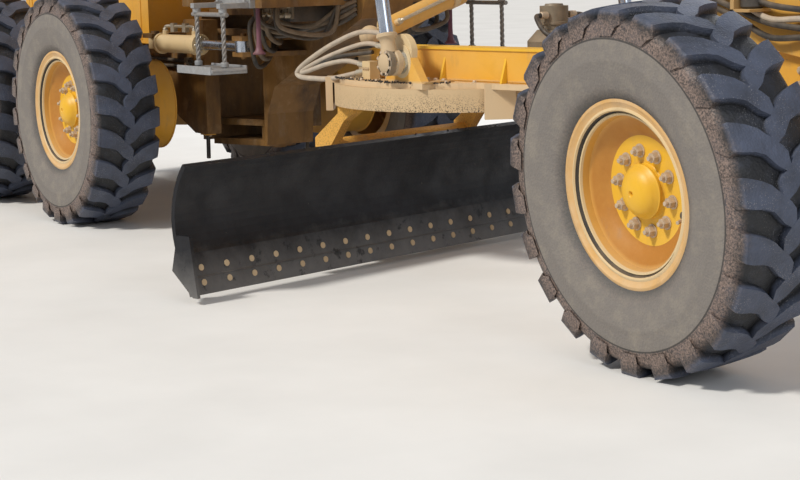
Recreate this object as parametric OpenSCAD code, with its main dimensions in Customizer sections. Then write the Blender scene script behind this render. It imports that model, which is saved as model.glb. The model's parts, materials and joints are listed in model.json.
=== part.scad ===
// Articulated motor grader on six tyres, with its blade under the frame.
// +X is forward, +Y is left, +Z is up. The origin is on the ground under the middle of the machine.

/* [Whole machine] */
// Front axle to tandem pivot
wheelbase = 5920; // [5700:10:6200]
// Front axle to the face of the nose
front_overhang = 850; // [800:10:950]
// Tandem pivot to the back of the bumper
rear_overhang = 1500; // [1450:10:1650]
// Centre to centre of the left and right tyres
track = 2040; // [2000:10:2100]

/* [Wheels] */
// Radius over the lugs' tips
tyre_r = 655; // [645:1:665]
// Width of a tyre's tread
tyre_w = 390; // [370:1:400]
// Radius of the rim's bead seat
rim_r = 305; // [300:1:310]
// Height of the rim flange over its bead seat
flange_h = 38; // [30:1:45]
// Width over the rim flanges
rim_w = 314; // [290:1:330]
// Radius of the circle of wheel nuts
nut_circle_r = 142; // [130:1:150]
// Distance between the two wheels of a tandem
tandem_spacing = 1525; // [1500:5:1600]

/* [Front axle] */
// Lean of the front wheels as it is parked, tops to the right
lean = 5; // [0:0.5:10]
// Lean pivot to the middle of the machine
lean_y = 790; // [770:5:800]
// Lean bar over the lean pivots
lean_arm = 260; // [240:5:280]
// Kingpin outboard of the lean pivot
kingpin_out = 60; // [50:5:70]
// Kingpin to the tie rod's pin
steer_arm = 120; // [110:2:124]

/* [Circle and blade] */
// Outer radius of the circle
circle_r = 740; // [720:5:760]
// Radial width of the circle band
circle_band = 110; // [90:5:130]
// Height of the circle's underside over the ground
circle_z = 775; // [765:5:790]
// Depth of the circle
circle_h = 105; // [90:5:110]
// Front axle to the middle of the circle
circle_back = 2550; // [2500:10:2600]
// Turn of the circle as it is parked, right end forward
circle_turn = 15.6; // [0:0.2:20]
// Length of the blade
blade_l = 3660; // [3500:10:3700]
// Height of the blade with its cutting edge
blade_h = 570; // [550:5:590]
// Thickness of the moldboard
blade_t = 22; // [18:1:30]
// Clearance of the cutting edge over the ground
blade_gap = 30; // [20:1:60]
// Sideways shift of the blade on its rails, to the left
blade_shift = 100; // [0:10:120]
// Middle of the circle to the blade's top edge
blade_back = 260; // [250:5:280]

/* [Frames] */
// Front axle to the articulation pivot
pivot_back = 4700; // [4650:10:4750]
// Width of the front frame's box beam
beam_w = 300; // [280:5:320]
// Width over the rear frame's rails
rails_w = 760; // [740:10:800]
// Width of one rail
rail_w = 90; // [80:5:110]

/* [Cab and hood] */
// Width of the cab
cab_w = 1500; // [1450:10:1540]
// Length of the cab
cab_l = 1450; // [1420:10:1500]
// Height of the cab's floor over the ground
cab_z = 1345; // [1335:5:1360]
// Height of the cab to the underside of its roof
cab_h = 1780; // [1700:10:1850]
// Thickness of the cab's walls and doors
wall = 60; // [50:2:70]
// Width of the hood
hood_w = 1040; // [1000:10:1100]
// Height of the hood's top over the ground
hood_z = 2130; // [2080:10:2180]
// Thickness of the hood's sheets
sheet = 30; // [24:2:36]

/* [Hidden] */
$fn = 64;

// Colours
yellow = "#d9a520";
dusty = "#a9966c";
dark = "#2a2a2a";
steel = "#8d8f92";
rubber = "#262626";
rim_tan = "#b89a6a";
clear = 0.3;      // gap between faces that run on each other
gap = 6;          // gap between panels that move apart

// Stations along the machine
x_front = (wheelbase + rear_overhang - front_overhang) / 2;
x_mid = x_front - wheelbase;
x_nose = x_front + front_overhang;
x_tail = x_mid - rear_overhang;
x_pivot = x_front - pivot_back;
x_circle = x_front - circle_back;
wheel_y = track / 2;
axle_z = tyre_r;

function arc(cx, cy, r, a0, a1, n = 6) = [for (i = [0:n]) let (a = a0 + (a1 - a0) * i / n)
    [cx + r * cos(a), cy + r * sin(a)]];

// A bar from point p to point q
module bar(p, q, r, r2 = -1) {
    d = q - p;
    translate(p)
        rotate([0, acos(d[2] / norm(d)), atan2(d[1], d[0])])
            cylinder(h = norm(d), r1 = r, r2 = r2 < 0 ? r : r2);
}

// A plate of outline pts in the XZ plane, t thick, its middle at y
module side_plate(pts, y, t) {
    translate([0, y + t / 2, 0])
        rotate([90, 0, 0])
            linear_extrude(t)
                polygon(pts);
}

// A box between two corners
module block(a, b) {
    translate(a)
        cube(b - a);
}

// A round along Y, its middle at y
module pin_y(x, y, z, r, h) {
    translate([x, y - h / 2, z])
        rotate([-90, 0, 0])
            cylinder(h = h, r = r);
}

module pin_x(x, y, z, r, h) {
    translate([x - h / 2, y, z])
        rotate([0, 90, 0])
            cylinder(h = h, r = r);
}

// Tyre profile, [radius, place across], from the inner bead round the tread to the outer bead
flange_t = 14;
bead_y = rim_w / 2 - flange_t - clear;
function tyre_half(s) = [
    [rim_r + clear, s * bead_y],
    [rim_r + flange_h + 4, s * bead_y],
    [rim_r + flange_h + 22, s * (rim_w / 2 + 4)],
    [tyre_r - 185, s * (tyre_w / 2 - 8)],
    [tyre_r - 130, s * tyre_w / 2],
    [tyre_r - 70, s * (tyre_w / 2 - 3)],
    [tyre_r - 32, s * (tyre_w / 2 - 18)],
    [tyre_r - 9, s * (tyre_w / 2 - 52)],
    [tyre_r, s * (tyre_w / 2 - 110)]];
function flip(v) = [for (i = [len(v) - 1:-1:0]) v[i]];
tyre_profile = concat(tyre_half(-1), flip(tyre_half(1)));
// Drop of the lowest point of a leaned tyre under its centre
front_drop = max([for (p = tyre_profile) p[0] * cos(lean) + abs(p[1]) * sin(lean)]);

module tyre_body() {
    rotate([-90, 0, 0])
        rotate_extrude($fn = 96)
            polygon(tyre_profile);
}

hub_r = 60;        // stub axle in the hub
hub_out = 120;     // outer radius of the hub's barrel
hub_in = 70;       // hub's barrel inboard of the wheel's middle
disc_y = 45;       // inner face of the disc, outboard of the wheel's middle
disc_t = 14;
cap_r = 92;
cap_h = 58;
nut_count = 10;
// Rim, dished disc and hub turned about the wheel's axis, outer side at +Y
rim_profile = concat([
    [rim_r - 12, -rim_w / 2],
    [rim_r + flange_h, -rim_w / 2],
    [rim_r + flange_h, -rim_w / 2 + flange_t],
    [rim_r, -rim_w / 2 + flange_t],
    [rim_r, rim_w / 2 - flange_t],
    [rim_r + flange_h, rim_w / 2 - flange_t],
    [rim_r + flange_h, rim_w / 2 - 4],
    [rim_r + flange_h - 8, rim_w / 2],
    [rim_r - 2, rim_w / 2],
    [rim_r - 8, rim_w / 2 - 14],
    [rim_r - 16, rim_w / 2 - 18],
    [rim_r - 26, rim_w / 2 - 50],
    [212, disc_y + disc_t + 12],
    [198, disc_y + disc_t],
    [cap_r, disc_y + disc_t],
    [cap_r, disc_y + disc_t + 16]],
    [for (i = [1:6]) [cap_r * cos(i * 15), disc_y + disc_t + 16 + cap_h * sin(i * 15)]],
    [[0, disc_y],
    [hub_r + 0.05, disc_y],
    [hub_r + 0.05, -hub_in],
    [hub_out, -hub_in],
    [hub_out, disc_y - 10],
    [132, disc_y],
    [198, disc_y],
    [222, disc_y + 14],
    [rim_r - 38, rim_w / 2 - 72],
    [rim_r - 12, rim_w / 2 - 66]]);

module rim_body() {
    rotate([-90, 0, 0])
        rotate_extrude($fn = 96)
            polygon(rim_profile);
    for (i = [0:nut_count - 1])
        rotate([0, i * 360 / nut_count + 18, 0])
            translate([nut_circle_r, disc_y + disc_t, 0])
                rotate([-90, 0, 0])
                    cylinder(h = 22, r = 17, $fn = 6);
}

// Front axle: the beam rocks about its middle pin so that both leaned tyres stand on the ground
hub_lift = 60;       // wheel's axis over the lean pivot
pivot_drop = 40;     // lean pivots under the middle pin
wheel_out = wheel_y - lean_y;
rock = -asin(wheel_out * sin(lean) / lean_y);
pin_z = front_drop - hub_lift * cos(lean) + pivot_drop * cos(rock);

module axle_frame() {
    translate([x_front, 0, pin_z])
        rotate([rock, 0, 0])
            children();
}

// Frame of a knuckle: origin on the lean pivot, s is 1 on the left and -1 on the right
module knuckle_frame(s) {
    axle_frame()
        translate([0, s * lean_y, -pivot_drop])
            rotate([lean - rock, 0, 0])
                children();
}

// Frame of a front wheel: +Y outboard
module front_wheel(s) {
    knuckle_frame(s)
        translate([0, s * wheel_out, hub_lift])
            mirror([0, s < 0 ? 1 : 0, 0])
                children();
}

module tandem_wheel(s, dx) {
    translate([x_mid + dx, s * wheel_y, axle_z])
        mirror([0, s < 0 ? 1 : 0, 0])
            children();
}

module tyre_front_left() { color(rubber) front_wheel(1) tyre_body(); }
module tyre_front_right() { color(rubber) front_wheel(-1) tyre_body(); }
module rim_front_left() { color(rim_tan) front_wheel(1) rim_body(); }
module rim_front_right() { color(rim_tan) front_wheel(-1) rim_body(); }
module tyre_mid_left() { color(rubber) tandem_wheel(1, tandem_spacing / 2) tyre_body(); }
module tyre_mid_right() { color(rubber) tandem_wheel(-1, tandem_spacing / 2) tyre_body(); }
module rim_mid_left() { color(rim_tan) tandem_wheel(1, tandem_spacing / 2) rim_body(); }
module rim_mid_right() { color(rim_tan) tandem_wheel(-1, tandem_spacing / 2) rim_body(); }
module tyre_rear_left() { color(rubber) tandem_wheel(1, -tandem_spacing / 2) tyre_body(); }
module tyre_rear_right() { color(rubber) tandem_wheel(-1, -tandem_spacing / 2) tyre_body(); }
module rim_rear_left() { color(rim_tan) tandem_wheel(1, -tandem_spacing / 2) rim_body(); }
module rim_rear_right() { color(rim_tan) tandem_wheel(-1, -tandem_spacing / 2) rim_body(); }

// The axle beam is an arched box that narrows to its forked ends
beam_half = 75;
fork_gap = 120;    // between the fork's plates, along X
lean_pin_r = 30;
knuckle_t = fork_gap - 2 * clear;
module front_axle() {
    color(yellow) axle_frame() difference() {
        union() {
            // middle of the beam, wide and deep at the pin
            rotate([90, 0, 90])
                translate([0, 0, -beam_half])
                    linear_extrude(2 * beam_half)
                        polygon([[-180, 110], [180, 110], [lean_y - 130, 5], [lean_y - 130, -95],
                            [150, -90], [-150, -90], [-lean_y + 130, -95], [-lean_y + 130, 5]]);
            // fork plates at both ends
            for (s = [-1, 1])
                for (f = [-1, 1])
                    translate([f * (fork_gap / 2 + 15), s * (lean_y - 75), -pivot_drop])
                        rotate([0, 90, 0])
                            linear_extrude(30, center = true)
                                union() {
                                    translate([0, s * 75])
                                        circle(r = 62);
                                    translate([-55, s > 0 ? -90 : -75])
                                        square([110, 165]);
                                }
            // boss round the middle pin
            rotate([0, 90, 0])
                cylinder(h = 260, r = 105, center = true);
        }
        rotate([0, 90, 0])
            cylinder(h = 400, r = 50, center = true);
        for (s = [-1, 1])
            translate([0, s * lean_y, -pivot_drop])
                rotate([0, 90, 0])
                    cylinder(h = 400, r = lean_pin_r + 0.05, center = true);
    }
}

// Knuckle: hangs on the lean pivot, carries the kingpin outboard and the lean bar's pin on top
king_r = 32;
king_lo = -70;      // lower and upper faces of the knuckle's kingpin boss
king_hi = 165;
module knuckle(s) {
    color(yellow) knuckle_frame(s) difference() {
        union() {
            rotate([0, 90, 0])
                cylinder(h = knuckle_t, r = 58, center = true);
            rotate([90, 0, 90])
                translate([0, 0, -knuckle_t / 2])
                    linear_extrude(knuckle_t)
                        polygon([[-s * 40, -42], [s * 40, king_lo], [s * kingpin_out, king_lo],
                            [s * kingpin_out, king_hi], [s * 8, king_hi], [s * 8, lean_arm - 20],
                            [-s * 25, lean_arm - 20],
                            [-s * 40, 60]]);
            translate([0, s * kingpin_out, king_lo])
                cylinder(h = king_hi - king_lo, r = knuckle_t / 2);
            translate([0, 0, lean_arm])
                rotate([0, 90, 0])
                    cylinder(h = knuckle_t, r = 42, center = true);
            // lean pivot pin through the fork
            rotate([0, 90, 0])
                cylinder(h = fork_gap + 80, r = lean_pin_r, center = true);
            // pin of the lean bar, standing out in front
            translate([0, 0, lean_arm])
                rotate([0, 90, 0])
                    cylinder(h = knuckle_t / 2 + 70, r = 20);
        }
        translate([0, s * kingpin_out, king_lo - 1])
            cylinder(h = king_hi - king_lo + 2, r = king_r + 0.05);
    }
}
module knuckle_left() knuckle(1);
module knuckle_right() knuckle(-1);

// Spindle: kingpin with a clevis over and under the knuckle, stub axle and steering arm
module spindle(s) {
    color(dusty) knuckle_frame(s) translate([0, s * kingpin_out, 0]) {
        translate([0, 0, king_lo - 45])
            cylinder(h = king_hi - king_lo + 90, r = king_r);
        difference() {
            union() {
                for (z = [king_lo - 40 - clear, king_hi + clear])
                    translate([0, 0, z])
                        cylinder(h = 40, r = 48);
                for (z = [king_lo - 40 - clear, king_hi + clear])
                    translate([-45, s > 0 ? 0 : -99, z])
                        cube([90, 99, 40]);
                translate([-60, s > 0 ? 72 : -100 + clear, king_lo - 40 - clear])
                    cube([120, 28 - clear, king_hi - king_lo + 80 + 2 * clear]);
            }
            translate([0, 0, king_lo - 60])
                cylinder(h = king_hi - king_lo + 120, r = king_r);
        }
        // stub axle
        translate([0, s * 90, hub_lift])
            rotate([-90 * s, 0, 0])
                cylinder(h = wheel_out - kingpin_out + disc_y - 90 - 6, r = hub_r);
        // steering arm to the rear, under the knuckle
        translate([0, 0, king_lo - 40 - clear])
            linear_extrude(28)
                difference() {
                    union() {
                        translate([-steer_arm, -30])
                            square([steer_arm - 20, 60]);
                        translate([-steer_arm, 0])
                            circle(r = 30);
                    }
                    circle(r = king_r);
                }
        // pin of the tie rod's end
        translate([-steer_arm, 0, king_lo - 40 - clear - 46])
            cylinder(h = 50, r = 16);
    }
}
module spindle_left() spindle(1);
module spindle_right() spindle(-1);

// Lean bar between the two knuckles' upper arms
module lean_bar() {
    color(yellow) axle_frame() translate([0, 0, -pivot_drop])
        rotate([lean - rock, 0, 0]) translate([knuckle_t / 2 + clear + 20, 0,
            lean_arm]) rotate([rock - lean, 0, 0])
            difference() {
                union() {
                    rotate([90, 0, 0])
                        cylinder(h = 2 * lean_y - 60, r = 18, center = true);
                    for (s = [-1, 1])
                        translate([0, s * lean_y, 0])
                            rotate([0, 90, 0])
                                cylinder(h = 40, r = 38, center = true);
                }
                for (s = [-1, 1])
                    translate([0, s * lean_y, 0])
                        rotate([0, 90, 0])
                            cylinder(h = 60, r = 20.05, center = true);
            }
}

// Tie rod: a ball end under the right arm that swivels, and the rod that tilts on it
tie_z = king_lo - 40 - clear - 24;
module tie_frame(s) {
    knuckle_frame(s)
        translate([-steer_arm, s * kingpin_out, tie_z])
            children();
}
module tie_rod_end() {
    color(dusty) tie_frame(-1) difference() {
        union() {
            translate([0, 0, -20])
                cylinder(h = 43, r = 26);
            rotate([0, -90, 0])
                cylinder(h = 62, r = 12);
        }
        translate([0, 0, -30])
            cylinder(h = 60, r = 16.05);
    }
}
tie_half = lean_y + kingpin_out;
tie_rise = kingpin_out / (lean_y + kingpin_out);   // share of the lean that tilts the rod
tie_x = -46;       // the rod lies behind the swivel's boss
tie_ring = 38;     // outside of the ring round the left arm's pin
module tie_rod() {
    color(dusty) tie_frame(-1) rotate([(1 - tie_rise) * (rock - lean), 0, 0])
        translate([tie_x, 0, 0]) {
            difference() {
                rotate([0, 90, 0])
                    cylinder(h = 28, r = 24, center = true);
                rotate([0, 90, 0])
                    cylinder(h = 60, r = 12.05, center = true);
            }
            translate([0, 20, 0])
                rotate([-90, 0, 0])
                    cylinder(h = 2 * tie_half - 10, r = 17);
            // ring round the left arm's pin
            translate([-tie_x, 2 * tie_half, -8])
                linear_extrude(16)
                    difference() {
                        union() {
                            circle(r = tie_ring);
                            translate([tie_x, -17])
                                square([-tie_x - 20, 27]);
                        }
                        circle(r = 27);
                    }
        }
}

// Rear frame: rails, cross members, bumper and the fork of the articulation
rail_z = 780;
rail_top = 1000;
hitch_r = 100;      // outside of the articulation's lugs
hitch_pin_r = 45;
lug_h = 80;
lugs_z = [440, 1080];      // underside of the front frame's two lugs
fork_t = 36;
hitch_x0 = x_pivot - 360;  // front of the rear frame's cross box
cyl_z = 1010;              // height of the articulation cylinders
cyl_r = 52;
cyl_rod_r = 28;
eye_t = 60;
hitch_stud_r = 16;         // rod pins, loose in their eyes
base_x = x_pivot - 430;    // base pins of the articulation cylinders
base_y = 560;
reach_x = x_pivot + 470;   // rod pins on the front frame
reach_y = 450;

hitch_ear = 80;             // reach of the tow ears behind the bumper
tow_z = [700, 800];
tow_pin_r = 20;

module hitch_fork() {
    for (z = lugs_z)
        for (f = [z - clear - fork_t, z + lug_h + clear])
            translate([0, 0, f])
                linear_extrude(fork_t)
                    union() {
                        translate([x_pivot, 0])
                            circle(r = hitch_r);
                        polygon([[x_pivot, -hitch_r], [x_pivot, hitch_r], [hitch_x0, 240], [hitch_x0, -240]]);
                    }
    for (z = lugs_z)
        translate([x_pivot, 0, z - clear - fork_t - 12])
            cylinder(h = lug_h + 2 * clear + 2 * fork_t + 24, r = hitch_pin_r);
}

module rear_frame() {
    half = rails_w / 2;
    color(yellow) union() {
        for (s = [-1, 1]) {
            // rail, deeper at the front
            side_plate([[x_tail + 150, rail_z], [x_mid - 260, rail_z], [x_mid - 200, rail_z + 60],
                [x_mid + 200, rail_z + 60], [x_mid + 300, rail_z - 60], [hitch_x0 + 40, 480],
                [x_pivot - 160, 480], [x_pivot - 160, 1140], [hitch_x0 - 60, 1140],
                [hitch_x0 - 140, rail_top], [x_tail + 150, rail_top]], s * (half - rail_w / 2), rail_w);
            // bracket of the articulation cylinder's base
            for (z = [cyl_z + eye_t / 2 + clear, cyl_z - eye_t / 2 - clear - 26])
                block([base_x - 90, s > 0 ? half - 5 : -base_y - 40, z],
                    [base_x + 42, s > 0 ? base_y + 40 : 5 - half, z + 26]);
            translate([base_x, s * base_y, cyl_z - 70])
                cylinder(h = 140, r = 24);
        }
        // cross box behind the articulation
        block([hitch_x0 - 40, -half + rail_w, 430], [hitch_x0, half - rail_w, 1160]);
        hitch_fork();
        // cross members
        for (x = [x_mid - 760, x_mid + 420])
            block([x - 60, -half + rail_w, rail_z + 20], [x + 60, half - rail_w, rail_top - 20]);
        // bumper
        translate([0, 0, 620])
            linear_extrude(480)
                polygon([[x_tail + hitch_ear, -560], [x_tail + hitch_ear + 40, -620], [x_tail + 160, -620],
                    [x_tail + 160, 620], [x_tail + hitch_ear + 40, 620], [x_tail + hitch_ear, 560]]);
        // tow hitch ears
        for (z = tow_z)
            translate([0, 0, z])
                linear_extrude(30)
                    difference() {
                        translate([x_tail, -80])
                            square([hitch_ear + 10, 160]);
                        translate([x_tail + 20 + tow_pin_r, 0])
                            circle(r = tow_pin_r);
                    }
    }
}

module engine() {
    color(dark)
        block([x_mid - 900, -270, rail_top + 40], [x_mid + 300, 270, rail_top + 900]);
    color(dark)
        for (x = [x_mid - 700, x_mid + 100])
            block([x - 50, -rails_w / 2 + 10, rail_top], [x + 50, rails_w / 2 - 10, rail_top + 40]);
}

// Hood: a shell open below and at the back, its sides cut for the doors
hood_x0 = x_tail + 230;
hood_x1 = x_pivot - 600;
door_z0 = 1345;
door_z1 = 1950;
hood_door_x = [x_mid - 1080, x_mid + 420];
hood_bevel = 150;
function hood_outline(t) = [[-hood_w / 2 + t, rail_top], [-hood_w / 2 + t, hood_z - hood_bevel],
    [-hood_w / 2 + hood_bevel * 0.35 + t * 0.7, hood_z - 40 - t],
    [-hood_w / 2 + hood_bevel + t * 0.2, hood_z - t],
    [hood_w / 2 - hood_bevel - t * 0.2, hood_z - t], [hood_w / 2 - hood_bevel * 0.35 - t * 0.7,
    hood_z - 40 - t],
    [hood_w / 2 - t, hood_z - hood_bevel], [hood_w / 2 - t, rail_top]];

module along_x(x0, x1) {
    translate([x0, 0, 0])
        rotate([90, 0, 90])
            linear_extrude(x1 - x0)
                children();
}

// Hinge: the axis stands off the face, the fixed straps go to -X and the moving one to +X
hinge_off = 18;
hinge_pin_r = 8;
strap = 70;
// The panel's face is at y = 0, so straps and panel take their common face from one value
module hinge_fixed(s) {
    translate([0, s * hinge_off, 0])
        cylinder(h = 130, r = hinge_pin_r, center = true);
    for (z = [-50, 50])
        translate([0, 0, z])
            linear_extrude(30, center = true)
                union() {
                    translate([0, s * hinge_off])
                        circle(r = 15);
                    translate([-strap, s > 0 ? 0 : 4 - hinge_off])
                        square([strap, hinge_off - 4]);
                }
}
module hinge_moving(s) {
    linear_extrude(70 - 2 * clear, center = true)
        difference() {
            union() {
                translate([0, s * hinge_off])
                    circle(r = 15);
                translate([0, s > 0 ? 0 : 4 - hinge_off])
                    square([strap, hinge_off - 4]);
            }
            translate([0, s * hinge_off])
                circle(r = hinge_pin_r + 0.05);
        }
}
// Places a hinge part at the rear edge x of a side panel whose outer face is at y
module on_hinges(x, y, s, zs) {
    for (z = zs)
        translate([x - gap / 2, s * y, z])
            children();
}
hood_hinges = [door_z0 + 110, door_z1 - 110];

module hood() {
    color(yellow) {
        difference() {
            along_x(hood_x0, hood_x1)
                difference() {
                    polygon(hood_outline(0));
                    polygon(concat([[-hood_w / 2 + sheet, rail_top - 1]],
                        [for (p = hood_outline(sheet)) if (p[1] > rail_top) p],
                        [[hood_w / 2 - sheet, rail_top - 1]]));
                }
            for (s = [-1, 1])
                block([hood_door_x[0], s > 0 ? hood_w / 2 - sheet - 1 : -hood_w / 2 - 1, door_z0],
                    [hood_door_x[1], s > 0 ? hood_w / 2 + 1 : -hood_w / 2 + sheet + 1, door_z1]);
            // outlet of the exhaust
            translate([x_mid + 120, 0, hood_z - 100])
                cylinder(h = 200, r = 75);
        }
        // front wall
        along_x(hood_x1 - sheet, hood_x1)
            polygon(hood_outline(sheet));
        for (s = [-1, 1])
            on_hinges(hood_door_x[0], hood_w / 2, s, hood_hinges)
                hinge_fixed(s);
        on_hinges(hood_x0, hood_w / 2, 1, grille_hinges)
            mirror([1, 0, 0])
                hinge_fixed(1);
    }
}

module hood_door(s) {
    color(yellow) {
        difference() {
            block([hood_door_x[0] + gap, s > 0 ? hood_w / 2 - sheet : -hood_w / 2, door_z0 + gap],
                [hood_door_x[1] - gap, s > 0 ? hood_w / 2 : -hood_w / 2 + sheet, door_z1 - gap]);
            // vents
            for (i = [0:5])
                block([hood_door_x[0] + 180, s > 0 ? hood_w / 2 - sheet - 1 : -hood_w / 2 - 1,
                    door_z0 + 150 + i * 55],
                    [hood_door_x[0] + 620, s > 0 ? hood_w / 2 + 1 : -hood_w / 2 + sheet + 1,
                    door_z0 + 172 + i * 55]);
        }
        on_hinges(hood_door_x[0], hood_w / 2, s, hood_hinges)
            hinge_moving(s);
    }
}
module hood_door_left() hood_door(1);
module hood_door_right() hood_door(-1);

// Rear grille: swings on the hood's left rear edge
grille_t = 60;
grille_z0 = 1120;
grille_rim = 80;
louvres = 11;
grille_hinges = [grille_z0 + 130, 1850];
module rear_grille() {
    x1 = hood_x0 - gap;
    pitch = (hood_z - grille_z0 - 2 * grille_rim) / (louvres + 1);
    color(yellow) {
        difference() {
            intersection() {
                along_x(x1 - grille_t, x1)
                    polygon(hood_outline(0));
                block([x1 - grille_t, -hood_w, grille_z0], [x1, hood_w, hood_z]);
            }
            block([x1 - grille_t - 1, -hood_w / 2 + grille_rim, grille_z0 + grille_rim],
                [x1 + 1, hood_w / 2 - grille_rim, hood_z - grille_rim]);
        }
        for (i = [1:louvres])
            translate([x1 - grille_t / 2, 0, grille_z0 + grille_rim + i * pitch])
                rotate([0, 35, 0])
                    cube([56, hood_w - 2 * grille_rim + 2, 8], center = true);
        on_hinges(hood_x0, hood_w / 2, 1, grille_hinges)
            mirror([1, 0, 0])
                hinge_moving(1);
    }
}

module exhaust() {
    color(steel) {
        translate([x_mid + 120, 0, rail_top + 900])
            cylinder(h = hood_z - rail_top - 900 + 60, r = 60);
        translate([x_mid + 120, 0, hood_z + 60])
            cylinder(h = 380, r = 105);
        translate([x_mid + 120, 0, hood_z + 440])
            cylinder(h = 60, r1 = 105, r2 = 48);
        difference() {
            bar([x_mid + 120, 0, hood_z + 495], [x_mid + 120, 0, hood_z + 640], 46);
            bar([x_mid + 120, 0, hood_z + 560], [x_mid + 120, 0, hood_z + 700], 40);
        }
    }
}

module rear_lamps() {
    color("#a02018")
        for (s = [-1, 1])
            for (z = [960, 1030])
                translate([x_tail + hitch_ear, s * 470, z])
                    rotate([0, -90, 0])
                        cylinder(h = 22, r1 = 30, r2 = 26);
}

// Rear axle housing and the tandem drive cases
case_in = 550;
case_out = 800;
case_r = 255;
pivot_r = 190;
module rear_axle() {
    color(dusty) {
        translate([x_mid, 0, axle_z + 40])
            rotate([90, 0, 0])
                cylinder(h = 2 * case_in, r = 140, center = true);
        translate([x_mid, 0, axle_z + 40])
            rotate([90, 0, 0])
                rotate_extrude()
                    polygon([[0, -230], [180, -230], [240, -150], [250, 0], [240, 150], [180, 230],
                        [0, 230]]);
        for (s = [-1, 1])
            translate([x_mid, s * (case_in - 60), axle_z + 40])
                rotate([90, 0, 0])
                    cylinder(h = 120, r = pivot_r, center = true);
        // saddles up to the rails
        for (s = [-1, 1])
            block([x_mid - 150, s * (rails_w / 2 - rail_w / 2) - 60, axle_z + 100],
                [x_mid + 150, s * (rails_w / 2 - rail_w / 2) + 60, rail_z + 60]);
    }
}

module tandem_case(s) {
    mirror([0, s < 0 ? 1 : 0, 0]) {
        translate([x_mid, case_out, axle_z])
            rotate([90, 0, 0])
                linear_extrude(case_out - case_in)
                    union() {
                        for (f = [-1, 1])
                            translate([f * tandem_spacing / 2, 0])
                                circle(r = case_r);
                        polygon([[-tandem_spacing / 2, -case_r], [tandem_spacing / 2, -case_r],
                            [tandem_spacing / 2, case_r], [260, case_r + 20], [-260, case_r + 20],
                            [-tandem_spacing / 2, case_r]]);
                    }
        for (f = [-1, 1])
            translate([x_mid + f * tandem_spacing / 2, 0, axle_z]) {
                translate([0, case_out, 0])
                    rotate([-90, 0, 0])
                        cylinder(h = wheel_y - hub_in - case_out - 5, r1 = 150, r2 = 115);
                translate([0, case_out, 0])
                    rotate([-90, 0, 0])
                        cylinder(h = wheel_y + disc_y - 6 - case_out, r = hub_r);
            }
    }
}
module tandem_cases() {
    color(yellow)
        for (s = [-1, 1])
            tandem_case(s);
}

// Front frame: an arched box beam from the nose to the articulation
cab_x0 = x_pivot - 200;
cab_x1 = cab_x0 + cab_l;
arch_z = 1640;       // underside of the arch over the circle
arch_top = 2000;
ball_x = x_front - 350;
ball_z = 980;
ball_r = 72;
// Side view of the beam, from the nose back over the arch and down to the hitch
frame_side = [
    [x_nose - 60, 1010], [x_nose - 60, 1330], [x_front + 350, 1400], [x_front - 600, 1490],
    [x_front - 1900, arch_top - 15], [x_front - 2300, arch_top], [x_front - 2950, arch_top],
    [x_front - 3180, arch_top - 90], [cab_x1 + 70, cab_z + 200], [cab_x1 + 60, cab_z - 12],
    [x_pivot + 260, cab_z - 12],
    [x_pivot + 115, 1200], [x_pivot + 115, 420], [x_pivot + 140, 420], [x_pivot + 155, 600],
    [x_pivot + 250, 760],
    [cab_x1 - 20, 1160], [cab_x1 + 40, 1290], [x_front - 3230, 1560], [x_front - 3080, arch_z],
    [x_front - 1750, arch_z - 20], [x_front - 1250, arch_z - 200], [x_front - 650, 1130],
    [x_front - 200, 1060], [x_front + 300, 1010]];
hanger_x = [130 + clear, 190];   // axle hangers in front of and behind the axle's middle
module front_frame() {
    color(yellow) difference() {
        union() {
            side_plate(frame_side, 0, beam_w);
            // lugs of the articulation
            for (z = lugs_z)
                translate([0, 0, z])
                    linear_extrude(lug_h)
                        union() {
                            translate([x_pivot, 0])
                                circle(r = hitch_r - 4);
                            polygon([[x_pivot, -hitch_r + 4], [x_pivot + 130, -beam_w / 2],
                                [x_pivot + 130, beam_w / 2],
                                [x_pivot, hitch_r - 4]]);
                        }
            // hangers of the axle's middle pin
            for (f = [-1, 1])
                along_x(f > 0 ? x_front + hanger_x[0] : x_front - hanger_x[1],
                    f > 0 ? x_front + hanger_x[1] : x_front - hanger_x[0])
                        union() {
                            translate([0, pin_z])
                                circle(r = 95);
                            polygon([[-95, pin_z], [95, pin_z], [beam_w / 2, 1100], [-beam_w / 2, 1100]]);
                        }
            // outriggers of the articulation cylinders
            for (s = [-1, 1]) {
                for (z = [cyl_z + eye_t / 2 + clear, cyl_z - eye_t / 2 - clear - 26])
                    translate([0, 0, z])
                        linear_extrude(26)
                            polygon([[reach_x - 60, s * (reach_y + 40)], [reach_x + 60, s * (reach_y + 40)],
                                [reach_x + 170, s * beam_w / 2], [reach_x - 170, s * beam_w / 2]]);
                translate([reach_x, s * reach_y, cyl_z - 70])
                    cylinder(h = 140, r = hitch_stud_r);
            }
            // cross beams under the cab
            for (x = [cab_x1 - 170, x_pivot + 290])
                block([x - 70, -cab_w / 2 + 60, cab_z - 112], [x + 70, cab_w / 2 - 60, cab_z - 12]);
            // nose plate
            translate([0, 0, 960])
                linear_extrude(400)
                    polygon([[x_nose - 60, -420], [x_nose - 18, -420], [x_nose, -380], [x_nose, 380],
                        [x_nose - 18, 420], [x_nose - 60, 420]]);
        }
        for (z = lugs_z)
            translate([x_pivot, 0, z - 10])
                cylinder(h = lug_h + 20, r = hitch_pin_r + 0.05);
        // two bolt holes each side in the nose plate
        for (y = [-300, 300])
            for (z = [1060, 1260])
                pin_x(x_nose - 30, y, z, 14, 100);
    }
    color(yellow) {
        // middle pin of the axle
        pin_x(x_front, 0, pin_z, 49.95, 2 * hanger_x[1] + 20);
    }
}

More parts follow.
